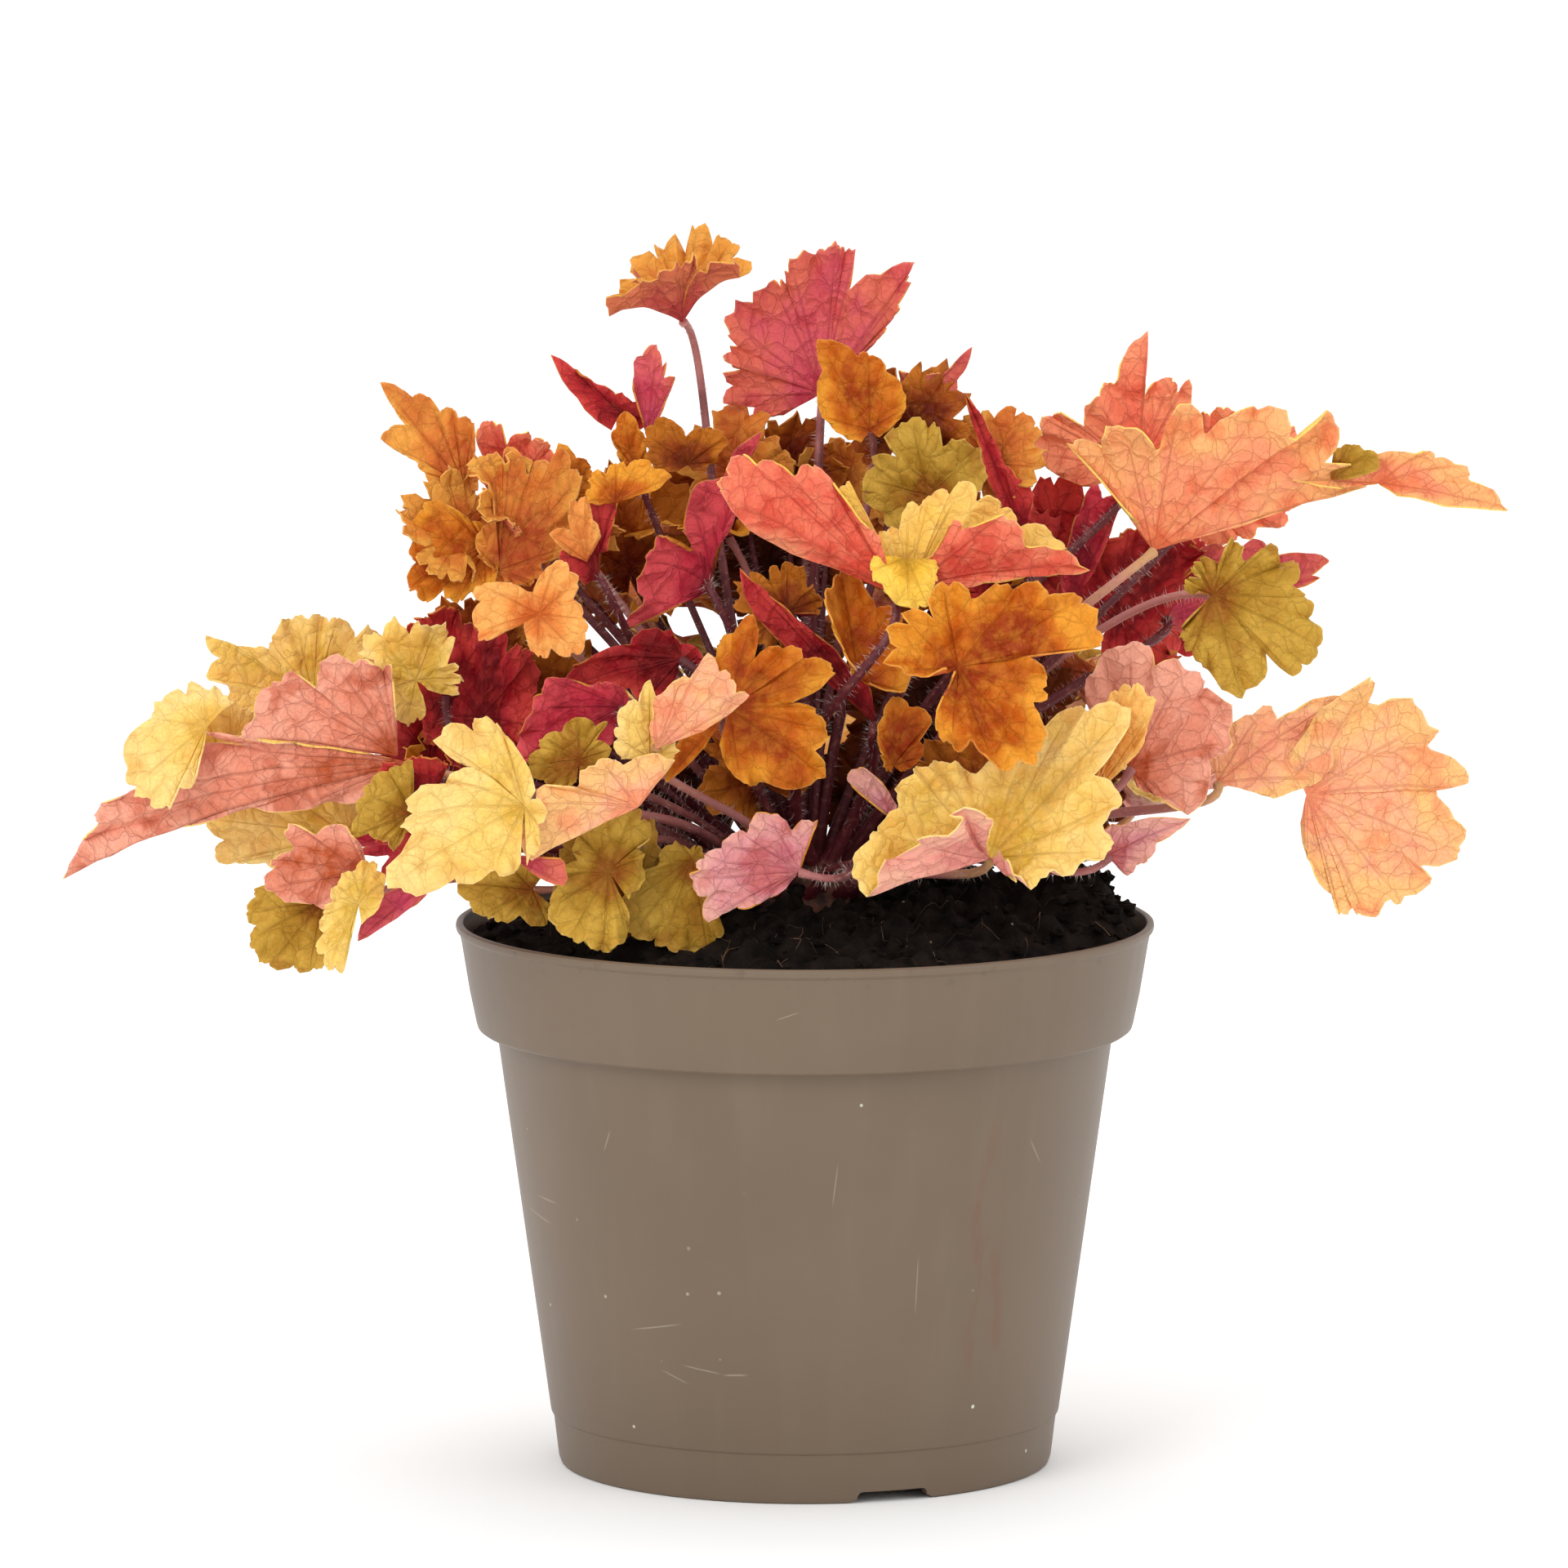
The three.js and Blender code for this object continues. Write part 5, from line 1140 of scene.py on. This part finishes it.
leaf(
    "left_ruffles", "amber",
    blade((-58, -8.6, 169.7), (-70, -4, 185), (-100, 20), tint="bronze", roll=0.4, rim=[
        (1, 1, -2), (2.4, 1, 2), (1.7, 0, 5.4), (1.7, -1, 10.8), (-1, -1, 11.8), (-2, -2, 13.3),
        (-4.2, -2, 12.4), (-6, -3, 15), (-9, -3, 15.2), (-14.3, -4, 17.3), (-10.2, -2, 10.4),
        (-14.4, 0, 8.3), (-8.2, 1, 4.4), (-7, 1, 2.7), (-2, 1, -2)]),
    blade((-51, -12, 167), (-57, -13, 174), (-90, 50), tint="bronze", cup=0.4),
    blade((-58, -13, 162), (-69, -16, 165), (-95, 30), tint="bronze"),
    blade((-54, -14, 160), (-66, -17, 152), (-100, 25), tint="amber", roll=0.4, rim=[
        (0, 0, 3), (-3, 1, 4.7), (-6, 1, 6.7), (-8.8, 2, 8.3), (-11.5, 2, 6.2), (-12, 3, 2.3),
        (-12, 3, -2.7), (-13.2, 4, -6.2), (-12, 4, -7.5), (-10.2, 4, -9.1), (-7.3, 3, -6.9),
        (-5, 3, -9.4), (-3, 2, -8), (-0.5, 2, -7.2), (2, 1, -4)]),
    blade((-52, -15, 156), (-44, -14, 166), (-80, 20), tint="bronze", roll=0.5, rim=[
        (1, 1, -2), (6, 2, -1.8), (7.5, 1, 1.2), (12, 0, 4), (12, -1, 9.8), (14.5, -2, 16.2),
        (12, -3, 16.6), (10.6, -3, 21), (8.5, -3, 18), (6.5, -3, 19), (5, -3, 16), (2, -3, 21.6),
        (0.5, -2, 18), (-1, -2, 19.3), (-1, 0, 9), (-4, 1, 4.1), (-1, 1, 0)]),
)
leaf(
    "left_red_top", "crimson",
    blade((-50, 2, 168), (-50, 4, 180), (90, 10), tint="coral", rim=[
        (-3, 0, 2), (-6, 0, 7.6), (-6, 0, 10.4), (-4, 0, 11.9), (-2.7, 0, 11), (-2, 0, 11.5),
        (-1.1, 0, 7.7), (1.5, 0, 9.8), (3.5, 0, 8.6), (6, 0, 8.6), (6.2, 0, 7), (7.2, 0, 5.6), (3, 0, 1)]),
)
leaf(
    "left_peach_top", "peach",
    blade((-41, -9, 168.5), (-40, -9, 176.5), (-80, 10), tint="amber", rim=[
        (0.5, 0, -1.5), (4.8, 0, 0.1), (4.4, 0, 2.6), (4.5, 0, 4.6), (2, 0, 6.1), (-1, 0, 8.6),
        (-1.5, 0, 4.6), (-2, 0, 3.1), (-1, 0, 0.6)]),
)
leaf(
    "left_deep_red", "crimson",
    blade((-61, -12, 134), (-62, -14, 150), (80, 10), width=0.6),
    blade((-55, -14, 131), (-54, -16, 147), (80, 10), width=0.7),
    blade((-66, -21, 138), (-73, -22, 146), (-95, 25), tint="gold"),
)
leaf(
    "left_trough", "gold",
    blade((-67, -30, 125), (-122, -42, 108), (95, 25), tint="blush", rim=[
        (-7, 0, -6.3), (-19, 0, -7.6), (-26.4, 0, -8.2), (-34.2, 0, -9.5), (-43.4, 1, -12.3),
        (-59.6, 4, -17.6), (-54.8, 3, -13.4), (-52.9, 2, -10), (-52, 2, -6.8), (-47.3, 0, -4.4),
        (-38.1, 0, -2.5), (-34.6, 0, 1.7), (-27.9, 0, 2.2), (-34.7, 0, 5.2), (-17.8, 0, 3.2)]),
    blade((-69, -28, 126), (-89, -29, 139), (90, 15), tint="blush", roll=0.4, rim=[
        (-16, 1, 1), (-27, 2, 4), (-24.3, 1, 6.2), (-21.1, 0, 12.2), (-19.5, 0, 12.1), (-18.2, -1, 14),
        (-14, -1, 11.5), (-11.5, -2, 16.8), (-7.3, -2, 15.4), (-4.5, -2, 16), (-2.5, -2, 14.1),
        (-1, -2, 15.8), (-0.2, -1, 5.1)]),
)
leaf(
    "left_gold_side", "gold",
    blade((-97, -12, 118), (-113, -14, 124), (-95, 15), rim=[
        (2, 0, 8), (3, 0, 13.5), (1, 1, 14), (-1, 2, 16), (-3.8, 2, 15.4), (-6.3, 2, 16.3),
        (-7.8, 3, 12.9), (-11.5, 4, 12.8), (-14.5, 5, 9), (-16.2, 6, 6.8), (-13, 6, 2.6), (-9.5, 6, 0),
        (-4, 3, -1)]),
    blade((-101, -29, 131), (-108, -34, 122), (-95, 25), roll=0.2, rim=[
        (4, -6, 3), (-1, -8, 6), (-5, -8, 5), (-10, -3, 1), (-13.7, 3, -6.6), (-12, 5, -9.4),
        (-9.7, 7, -11.8), (-6, 8, -13), (-4.5, 7, -10), (-2, 6, -8.5), (-1, 4, -5)]),
)
leaf(
    "left_gold_back", "gold",
    blade((-84, 2, 131), (-102, 0, 139), (-95, 42), roll=0.4, rim=[
        (4, 0, -1.3), (13, -2, 5.7), (11, -2, 9.5), (9, -3, 13.6), (6.7, -3, 11.1), (4, -3, 14.5),
        (2.3, -3, 13.8), (0.5, -3, 15.3), (-1.2, -3, 14.1), (-3.5, -3, 15), (-6.8, -2, 12.4),
        (-7.5, -2, 10.8), (-8, -2, 9.1), (-10, -1, 9.8), (-13.8, -1, 9.6), (-18.9, 0, 12.4),
        (-16.3, 1, 7.8), (-18.3, 2, 5.5), (-15, 2, 3.2), (-13, 3, -3), (-6, 2, -6)]),
)
leaf(
    "left_gold_low", "gold",
    blade((-78, -16, 111), (-99, -18, 109), (-95, 12), rim=[
        (2.5, 0, 0.8), (2.5, -1, 4.7), (-4, 0, 6.3), (-10, 0, 6.8), (-18, 0, 5.3), (-23.8, 1, 2.9),
        (-21, 1, -1), (-21.9, 1, -5), (-19, 1, -4.9), (-17.4, 1, -5), (-14, 0, -4.9), (-10, 0, -6.2),
        (-2, 0, -2)]),
)
leaf(
    "left_olive_low", "olive",
    blade((-81, -40, 103), (-93, -42, 95), (-95, 20), rim=[
        (-2, 0, 2.7), (-5, 0, 5.2), (-7.4, 0, 4.5), (-10, 0, 2.7), (-12, 1, 0.2), (-13, 1, -2.2),
        (-11.3, 1, -4.2), (-12.4, 2, -6.5), (-11.3, 3, -8.4), (-9, 3, -10.7), (-5.3, 3, -10.6),
        (-2.5, 3, -11.6), (0.7, 2, -9.8), (2, 2, -9), (1.5, 1, -2)]),
    blade((-74, -44, 108), (-89, -46, 108), (92, 20), tint="blush", rim=[
        (-1, 0, -3), (-5, 1, -5.5), (-9, 1, -5), (-16.5, 2, -2), (-14.5, 1, 1), (-15.7, 0, 2.8),
        (-12, 0, 4), (-12.4, 0, 8.8), (-8, 0, 6.5), (-3, 0, 8), (0, 0, 3)]),
    blade((-75, -47, 103.5), (-78, -49, 92), (-90, 20), tint="gold", rim=[
        (0.5, 0, -3.5), (4.6, 0, 3.8), (3.2, 0, 5.5), (2.4, 0, 7.2), (-0.5, 0, 6), (-3.5, 0, 3.1),
        (-4.5, 0, 0), (-6, 0, -2), (-5.8, 0, -5), (-7.1, 1, -7.6), (-5.5, 1, -8.5), (-5.3, 2, -11.3),
        (-3.8, 2, -10.2), (-2.7, 2, -11.7), (-0.9, 1, -4.3)]),
    blade((-62, -44, 107.5), (-75, -45, 97), (92, 20), tint="berry", roll=0.2, rim=[
        (-1.8, 0, -3.3), (-13.2, 1, -11), (-12, 0, -7.2), (-11.7, 0, -4.3), (-5, 0, -1.2)]),
)
leaf(
    "left_under", "crimson",
    blade((-63, -38.5, 120), (-71, -40, 112), (95, 20)),
    blade((-66, -42, 118), (-76, -42, 120), (-90, 20), tint="olive", rim=[
        (0.1, 0, 3), (0.1, 0, 9), (-2, 0, 8), (-4, 0, 7.3), (-7, 1, 5.5), (-8.2, 1, 3.6), (-9.3, 1, -0.4),
        (-10, 2, -3.7), (-7.5, 1, -3.2), (-5.5, 1, -4.3), (-4, 1, -4.5), (-3.3, 1, -6.3), (-1, 1, -3)]),
)
leaf(
    "front_gold_left", "gold",
    blade((-47, -52, 120.5), (-68, -58, 112), (-95, 35), roll=0.2, bow=-0.08, rim=[
        (0.5, 0, -9.5), (2.8, 1, -3.5), (2, 0, 2.5), (-4, -2, 13.2), (-5, -2, 14), (-7, -2, 14.8),
        (-9, -2, 13), (-15.3, -2, 11.5), (-8.9, 0, 6.3), (-13, 1, 5), (-17.3, 1, 3), (-20, 1, -1.4),
        (-18.3, 1, -5.2), (-22.3, 2, -13.7), (-13, 2, -12.9), (-5, 2, -10.4), (-0.5, 1, -10)]),
    blade((-28, -49, 120), (-47, -54, 116), (95, 15), tint="peach", roll=0.2, rim=[
        (-18, 2, -9.2), (-17, 3, 1.4), (-15.5, 2, 3.6), (-13.1, 2, 3.9), (-10.2, 1, 3.3), (-6.5, 0, 8),
        (-2.5, 0, 7), (6, 0, 8), (3.5, 0, 4.5)]),
    blade((-48.5, -48, 111), (-40, -49, 108), (92, 20), tint="berry", roll=0.2, rim=[
        (1, 0, 0.6), (7.5, 0, 0.2), (8.2, 0, -1.5), (8, 0, -4.6), (3, 0, -2.6)]),
)
leaf(
    "front_peach_up", "peach",
    blade((-25, -46, 129.5), (-14, -50, 142.5), (-70, 15), roll=0.2, rim=[
        (-0.8, 0, 2), (-0.5, 1, 7), (1.5, 1, 10.2), (4, 1, 12), (5.7, 1, 12), (8.5, 2, 16.3),
        (10.5, 2, 13.2), (12.3, 2, 12.4), (13.4, 2, 9.8), (15.7, 2, 9.2), (8, 1, 3.2)]),
    blade((-26, -44, 127.5), (-29, -43, 139.5), (-90, 20), tint="gold", roll=0.2, rim=[
        (2, 0, -0.5), (4.7, 1, 1.6), (1.5, 1, 4.7), (0, -1, 13.4), (-2, 0, 9.6), (-4, 1, 9.5),
        (-5.5, 1, 6.2), (-5.8, 1, 3.7), (-5, 1, 0)]),
)
leaf(
    "front_olive_left", "olive",
    blade((-38, -42, 127), (-46, -42, 129), (-90, 25), rim=[
        (0, 0, -2.7), (5.7, 0, 1.8), (2.6, 0, 3.3), (4.9, -1, 6.6), (2.7, -1, 5.4), (0, -1, 7.3),
        (-2.9, -1, 4.5), (-6, 0, 4), (-6.6, 0, 1.8), (-8.8, 1, -1.1), (-6, 1, -3.2), (-3, 2, -4.4),
        (-0.5, 1, -3.6)]),
)
leaf(
    "front_olive_low", "olive",
    blade((-46, -34, 104), (-57, -32, 101), (-90, 25), rim=[
        (2, -1, 2.6), (-4, -1, 3.9), (-8, 0, 2.7), (-12.7, 0, 1), (-10.5, 1, -2), (-8.5, 1, -4.2),
        (-6.8, 1, -4.5), (-5, 1, -5.2), (-2, 1, -4.2), (2.5, 0, -6), (3, 0, -2.8)]),
)
leaf(
    "front_olive_drop", "olive",
    blade((-33, -41, 108), (-40, -45, 96), (-90, 25), rim=[
        (3, 0, -4.8), (5.5, -1, 2), (5.1, -1, 3.9), (7, -2, 5.6), (6, -2, 8.5), (4, -2, 10.4),
        (-1, -2, 8.4), (-5, -2, 6.4), (-5.5, -1, 1.6), (-8.3, 1, -0.2), (-9, 2, -3), (-10, 3, -5.9),
        (-9, 4, -8.7), (-6.5, 5, -10.3), (-4, 5, -11.2), (-1, 5, -12.8), (1.5, 5, -11.9), (3, 4, -10.2),
        (3.2, 2, -7)]),
)
leaf(
    "front_olive_mid", "olive",
    blade((-19, -33, 109), (-24, -38, 97), (-90, 25), rim=[
        (1.5, 1, -2.8), (1.5, -1, 2), (-0.5, -1, 1), (-3, -1, 3), (-6, 1, -1), (-9.7, 2, -2.5),
        (-11, 2, -5), (-11.5, 3, -7.5), (-10.6, 4, -10.3), (-10.3, 5, -12.5), (-6.3, 5, -12.7),
        (-5, 6, -14.3), (-1.3, 6, -14.4), (2.7, 6, -15.9), (4, 5, -12.7), (5.4, 4, -11.7), (2.3, 1, -4.6)]),
)
leaf(
    "front_pink_low", "rose",
    blade((-1, -47, 109), (-18, -51, 109), (95, 20), rim=[
        (-2, 0, -3), (-8, 1, -5.2), (-10.8, 1, -6.1), (-15.7, 2, -8.3), (-15.5, 2, -4.2), (-18, 2, -1.9),
        (-17.5, 2, 0.2), (-16, 1, 2.1), (-13, 1, 3.8), (-10.3, 1, 6.7), (-8.8, 1, 6.1), (-5.5, 0, 10),
        (-1.2, 0, 7), (2.8, -1, 8.5), (1.2, 0, 3.4)]),
)

# ---------------------------------------------------------------- the leaves: the back of the plant
# Three tiers of full-grown leaves that face up and outwards, each a little unlike the last. Then every leaf's
# sheets are made and joined, and the leaf takes the place of its solid.
BACK_TIERS = [
    (5, (14, 166), 56, 110, 28, 40, ("gold", "olive", "peach")),
    (4, (36, 146), 36, 136, 24, 50, ("amber", "coral", "olive")),
    (3, (40, 140), 19, 160, 17, 65, ("russet", "rose", "amber")),
]
for row, (count, spread, ring, level, reach, face, tints) in enumerate(BACK_TIERS):
    for i in range(count):
        stray = math.sin(12.9 * i + 4.1 * row + 1)
        turn = spread[0] + (spread[1] - spread[0]) * i / (count - 1) + 3 * stray
        height = level + 2 * stray + (i % 2) * 0.4 * reach
        at = toward(turn, 0) * (ring + 4 * stray)
        end = toward(turn, 0) * (ring + reach * (1 + 0.1 * stray))
        at[2], end[2] = height, height - 2 + 5 * stray
        leaf(f"back_{row + 1}_{i + 1}", tints[i % 3], blade(tuple(at), tuple(end), (turn, face), cup=0.15))

for name, tint, blades in LEAVES:
    piece = leaf_piece(name, blades)
    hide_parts("leaf_" + name)
    "leaf_" + tint
    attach(piece, "root")

# ---------------------------------------------------------------- the young leaves
# Small, soft, mostly shaded leaves that fill the plant's middle; the darkest of them have a near-black brown
# finish that is painted shade. They grow from the same crown on stalks of their own, and are one piece.
YOUNG_LEAVES = [
    blade((-30, 12, 153), (-34, 10, 171), (-90, 15), tint="russet"),
    blade((-17, 16, 160), (-18, 14, 176), (-80, 10), tint="russet"),
    blade((-12, 8, 170), (-11, 6, 182), (-95, 30), tint="bronze", fold=(50, 50)),
    blade((-47, 8, 150), (-52, 7, 164), (-95, 10), tint="bronze"),
    blade((-43, 2, 160), (-40, 0, 172), (-75, 25), tint="bronze"),
    blade((-6, 18, 152), (-5, 16, 168), (-90, 20), tint="dusk"),
    blade((6, 18, 158), (10, 16, 174), (-95, 25), tint="russet"),
    blade((24, 14, 150), (30, 12, 166), (-85, 20), tint="russet"),
    blade((36, 10, 150), (42, 10, 163), (105, 15), tint="crimson", fold=(50, 40)),
    blade((60, 12, 146), (68, 12, 158), (100, 10), tint="crimson"),
    blade((33, 12, 133), (44, 10, 143), (-85, 20), tint="dusk"),
    blade((18, 14, 126), (28, 12, 140), (-90, 10), tint="dusk"),
    blade((-4, 14, 130), (-8, 12, 146), (-95, 15), tint="dusk"),
    blade((-42, 8, 130), (-50, 6, 141), (-95, 10), tint="russet"),
    blade((-56, 2, 136), (-62, 1, 148), (-100, 15), tint="russet"),
    blade((-58, -6, 118), (-68, -8, 125), (-95, 20), tint="amber"),
    blade((-38, 6, 112), (-47, 4, 124), (-90, 25), tint="dusk"),
    blade((42, 10, 114), (52, 8, 126), (-85, 20), tint="dusk"),
    blade((12, 12, 112), (16, 10, 126), (-90, 15), tint="dusk"),
    blade((-20, 10, 112), (-28, 8, 126), (-90, 20), tint="dusk"),
    blade((28, -16, 118), (33, -20, 128), (-90, 20), tint="russet"),
    blade((-8, -14, 120), (-14, -17, 130), (-90, 20), tint="russet", fold=(60, 40)),
    blade((-29, -29, 101), (-40, -31, 112), (-90, 20), tint="olive"),
    blade((40, 12, 156), (46, 12, 168), (95, 15), tint="crimson"),
    blade((-3, 10, 168), (-2, 8, 180), (-90, 15), tint="russet"),
    blade((5, 10, 164), (10, 9, 176), (-85, 20), tint="bronze"),
    blade((-62, -8, 120), (-70, -8, 131), (85, 15), tint="crimson"),
    blade((-64, -30, 113), (-75, -32, 113), (90, 15), tint="magenta"),
]
for i, one in enumerate(YOUNG_LEAVES):
    one["phase"] = 50 + 2.9 * i
undergrowth = leaf_piece("young_leaves", YOUNG_LEAVES)
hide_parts("crown_and_stalks")
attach(undergrowth, "root")

# ---------------------------------------------------------------- the crown and the stalks
# One living piece: a knobbly woody crown in the soil, and a tapering, hairy stalk to each leaf, green-tan on
# the large gold leaves and maroon on the young red ones; the young leaves' stalks are the darkest maroon,
# partly their own colour and partly painted shade. Every stalk is darkened towards the crown as painted
# shade. Each stalk follows its solid's own route.
CROWN_RADIUS, CROWN_MIDDLE = 12, 96
CROWN_BARK, BARK_MIDDLE = (11.2, 11.2, 9.5), 95.5
STALK_FOOT, STALK_TIP = 1.2, 0.9
STALK_SIDES = 9
SOLID_STEPS = 4
STALK_SEAT = 0.65
SWAYS, CLIMBS, ARRIVALS = (0, 1, -1, 2, -2, 3, -3), (0.4, 0.15, 0.7), (0.16, 0, 0.3)
ROUTES = [(sway, climb, behind) for sway in SWAYS for climb in CLIMBS for behind in ARRIVALS]
HAIRS_PER_MM = 3.0
HAIR_SPAN, HAIR_LENGTH = (0.12, 0.985), (0.7, 1.7)
HAIR_FACES = [(0, 2, 1), (0, 1, 3), (1, 2, 3), (2, 0, 3)]
TONE_OF = dict(
    gold=0.95, peach=0.9, olive=0.7, coral=0.25, amber=0.5, rose=0.4, russet=0.2, magenta=0.15, crimson=0.05)


def stalk_curve(shape, sway, climb, behind):
    """The four control points of a stalk's curve, from the crown to just under the blade."""
    at, along, up, _, _ = blade_frame(shape)
    middle = np.array([0, 0, CROWN_MIDDLE], float)
    seat = at - up * STALK_SEAT
    outward = (seat - middle) / np.linalg.norm(seat - middle)
    root = middle + outward * 0.75 * CROWN_RADIUS
    length = np.linalg.norm(seat - root)
    sideways = np.array([-outward[1], outward[0], 0]) / np.linalg.norm(outward[:2])
    upwards = np.array([0, 0, 0.35 * climb * length])
    bow = root + outward * 0.35 * length + sideways * 0.11 * sway * length + upwards
    arrive = seat - along * behind * length - up * 0.2 * length
    return root, bow, arrive, seat


def on_curve(curve, share):
    share = np.asarray(share, float)[:, None]
    weights = [(1 - share) ** 3, 3 * share * (1 - share) ** 2, 3 * share**2 * (1 - share), share**3]
    return sum(weight * point for weight, point in zip(weights, curve))


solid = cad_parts["crown_and_stalks"].data
corners = kdtree.KDTree(len(solid.vertices))
for i, corner in enumerate(solid.vertices):
    corners.insert(corner.co * 1000, i)
corners.balance()


def solid_corners(shape, curve):
    """Where the solid stalk's triangular rings have their first corners, if it takes this curve."""
    side = blade_frame(shape)[3]
    path = on_curve(curve, np.linspace(0, 1, SOLID_STEPS + 1))
    for i in range(1, SOLID_STEPS):
        ahead = path[i + 1] - path[i - 1]
        ahead /= np.linalg.norm(ahead)
        across = side - ahead * (side @ ahead)
        across /= np.linalg.norm(across)
        yield path[i] + across * (STALK_FOOT + (STALK_TIP - STALK_FOOT) * i / SOLID_STEPS)


def own_route(name, shape):
    """The curve of the solid's stalk: the one whose rings have their corners where the solid has them."""
    fits = []
    for route in ROUTES:
        curve = stalk_curve(shape, *route)
        misses = [corners.find(Vector(corner))[2] for corner in solid_corners(shape, curve)]
        fits.append((sum(min(miss, 1.0) for miss in misses), curve))
    miss, curve = min(fits, key=lambda fit: fit[0])
    if miss > 1.5:
        print("no route matches the solid stalk of", name, round(miss, 2))
    return curve


points, faces, stalk_tones_with_shade = [], [], []
hair_points, hair_faces = [], []
chance = random.Random(7)


def grow_stalk(curve, size, tan):
    """Adds a stalk along a curve, as thick as the blade's size asks for, and the hairs on it."""
    length = sum(np.linalg.norm(np.diff(on_curve(curve, np.linspace(0, 1, 9)), axis=0), axis=1))
    share = np.linspace(0, 1, max(10, int(length / 3)))
    path = on_curve(curve, share)
    thick = (STALK_FOOT + (STALK_TIP - STALK_FOOT) * share) * (0.54 + 0.28 * min(1.0, size / 30))
    flare = 0.5 * np.exp(-((share * length / 5) ** 2)) + 0.35 * np.exp(-(((1 - share) * length / 1.6) ** 2))
    thick = thick * (1 + flare)
    thread(points, faces, path / 1000, thick / 1000, sides=STALK_SIDES)
    # Painted shade: the tone falls off towards the crown, where the stalks sit deep in the plant.
    stalk_tones_with_shade.extend(tan * (0.15 + 0.85 * one) for one in np.repeat(share, STALK_SIDES))
    ways = np.gradient(path, axis=0)
    for k in range(int(HAIRS_PER_MM * length)):
        where = chance.uniform(*HAIR_SPAN)
        place = np.array([np.interp(where, share, path[:, j]) for j in range(3)])
        way = np.array([np.interp(where, share, ways[:, j]) for j in range(3)])
        way /= np.linalg.norm(way)
        out = np.cross(way, toward(chance.uniform(0, 360), math.degrees(math.asin(chance.uniform(-1, 1)))))
        out /= np.linalg.norm(out)
        root = place + out * np.interp(where, share, thick) * 0.9
        tip = root + (out + way * chance.uniform(-0.35, 0.25)) * chance.uniform(*HAIR_LENGTH)
        across = np.cross(out, way)
        first = len(hair_points)
        foot = [root + way * 0.035, root - way * 0.02 + across * 0.03, root - way * 0.02 - across * 0.03]
        hair_points.extend(tuple(corner / 1000) for corner in (*foot, tip))
        hair_faces.extend(tuple(first + k for k in face) for face in HAIR_FACES)


for name, tint, blades in LEAVES:
    grow_stalk(own_route(name, blades[0]), blade_frame(blades[0])[4], TONE_OF[tint])
for shape in YOUNG_LEAVES:
    grow_stalk(stalk_curve(shape, *ROUTES[0]), blade_frame(shape)[4], TONE_OF["crimson"])

stalks = mesh_piece("leaf_stalks", points, faces)
stalks.data.attributes.new("tone", "FLOAT", "POINT").data.foreach_set("value", np.array(stalk_tones_with_shade, np.float32))
select_only(stalks)
bpy.ops.object.mode_set(mode="EDIT")
bpy.ops.mesh.select_all(action="SELECT")
bpy.ops.mesh.normals_make_consistent(inside=False)
bpy.ops.object.mode_set(mode="OBJECT")
bpy.ops.object.shade_smooth_by_angle(angle=math.radians(60))
hairs = mesh_piece("stalk_hairs", hair_points, hair_faces)

select_only()
bpy.ops.mesh.primitive_uv_sphere_add(segments=48, ring_count=28, radius=1, location=(0, 0, 0))
crown = bpy.context.active_object
crown.name = "woody_crown"
for corner in crown.data.vertices:
    way = corner.co.normalized()
    knobs = 1 + 0.16 * noise.noise(way * 3.1) + 0.07 * noise.noise(way * 9.0)
    corner.co = (way * Vector(CROWN_BARK) * knobs + Vector((0, 0, BARK_MIDDLE))) / 1000
bpy.ops.object.shade_smooth()

stem = Finish("stalk_skin", Specular_IOR_Level=0.4, Subsurface_Weight=0.1, Subsurface_Scale=0.001)
spot = stem.place()
tan_share_with_shade = stem.node("ShaderNodeAttribute", {"attribute_name": "tone"}, output="Fac")
cloudy = stem.noise(spot, 180, 3.0)
tan = tan_share_with_shade + (cloudy - 0.5) * 0.4
tone = stem.mix(tan.rise(0.20, 0.52), linear(0.34, 0.09, 0.12), linear(0.70, 0.44, 0.42))
tone = stem.mix(tan.rise(0.55, 0.95), tone, linear(0.76, 0.58, 0.38))
tone = stem.mix(stem.noise(spot, 900, 2.0).rise(0.5, 0.7) * 0.3, tone, linear(0.62, 0.36, 0.32))
stem.use("Base Color", tone)
stem.use("Roughness", 0.42 + 0.2 * cloudy)
stem.bump(stem.noise(spot, 1400, 2.0), 0.00015, 0.4)
stalks.data.materials.append(stem.material)
bark = Finish("crown_bark", Roughness=0.85)
spot = bark.place()
ridged = bark.noise(spot, 300, 4.0).rise(0.35, 0.7)
bark.use("Base Color", bark.mix(ridged, linear(0.16, 0.09, 0.07), linear(0.40, 0.24, 0.18)))
bark.bump(bark.noise(bark.stretch(spot, 1, 1, 0.3), 500, 4.0), 0.0008, 0.8)
crown.data.materials.append(bark.material)
down = Finish("stalk_down", Roughness=0.6, Alpha=0.6)
rosy, white = linear(0.88, 0.78, 0.74), linear(0.97, 0.93, 0.90)
down.use("Base Color", down.mix(down.noise(down.place(), 60), rosy, white))
hairs.data.materials.append(down.material)
for piece in (stalks, hairs, crown):
    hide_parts("crown_and_stalks")
    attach(piece, "root")
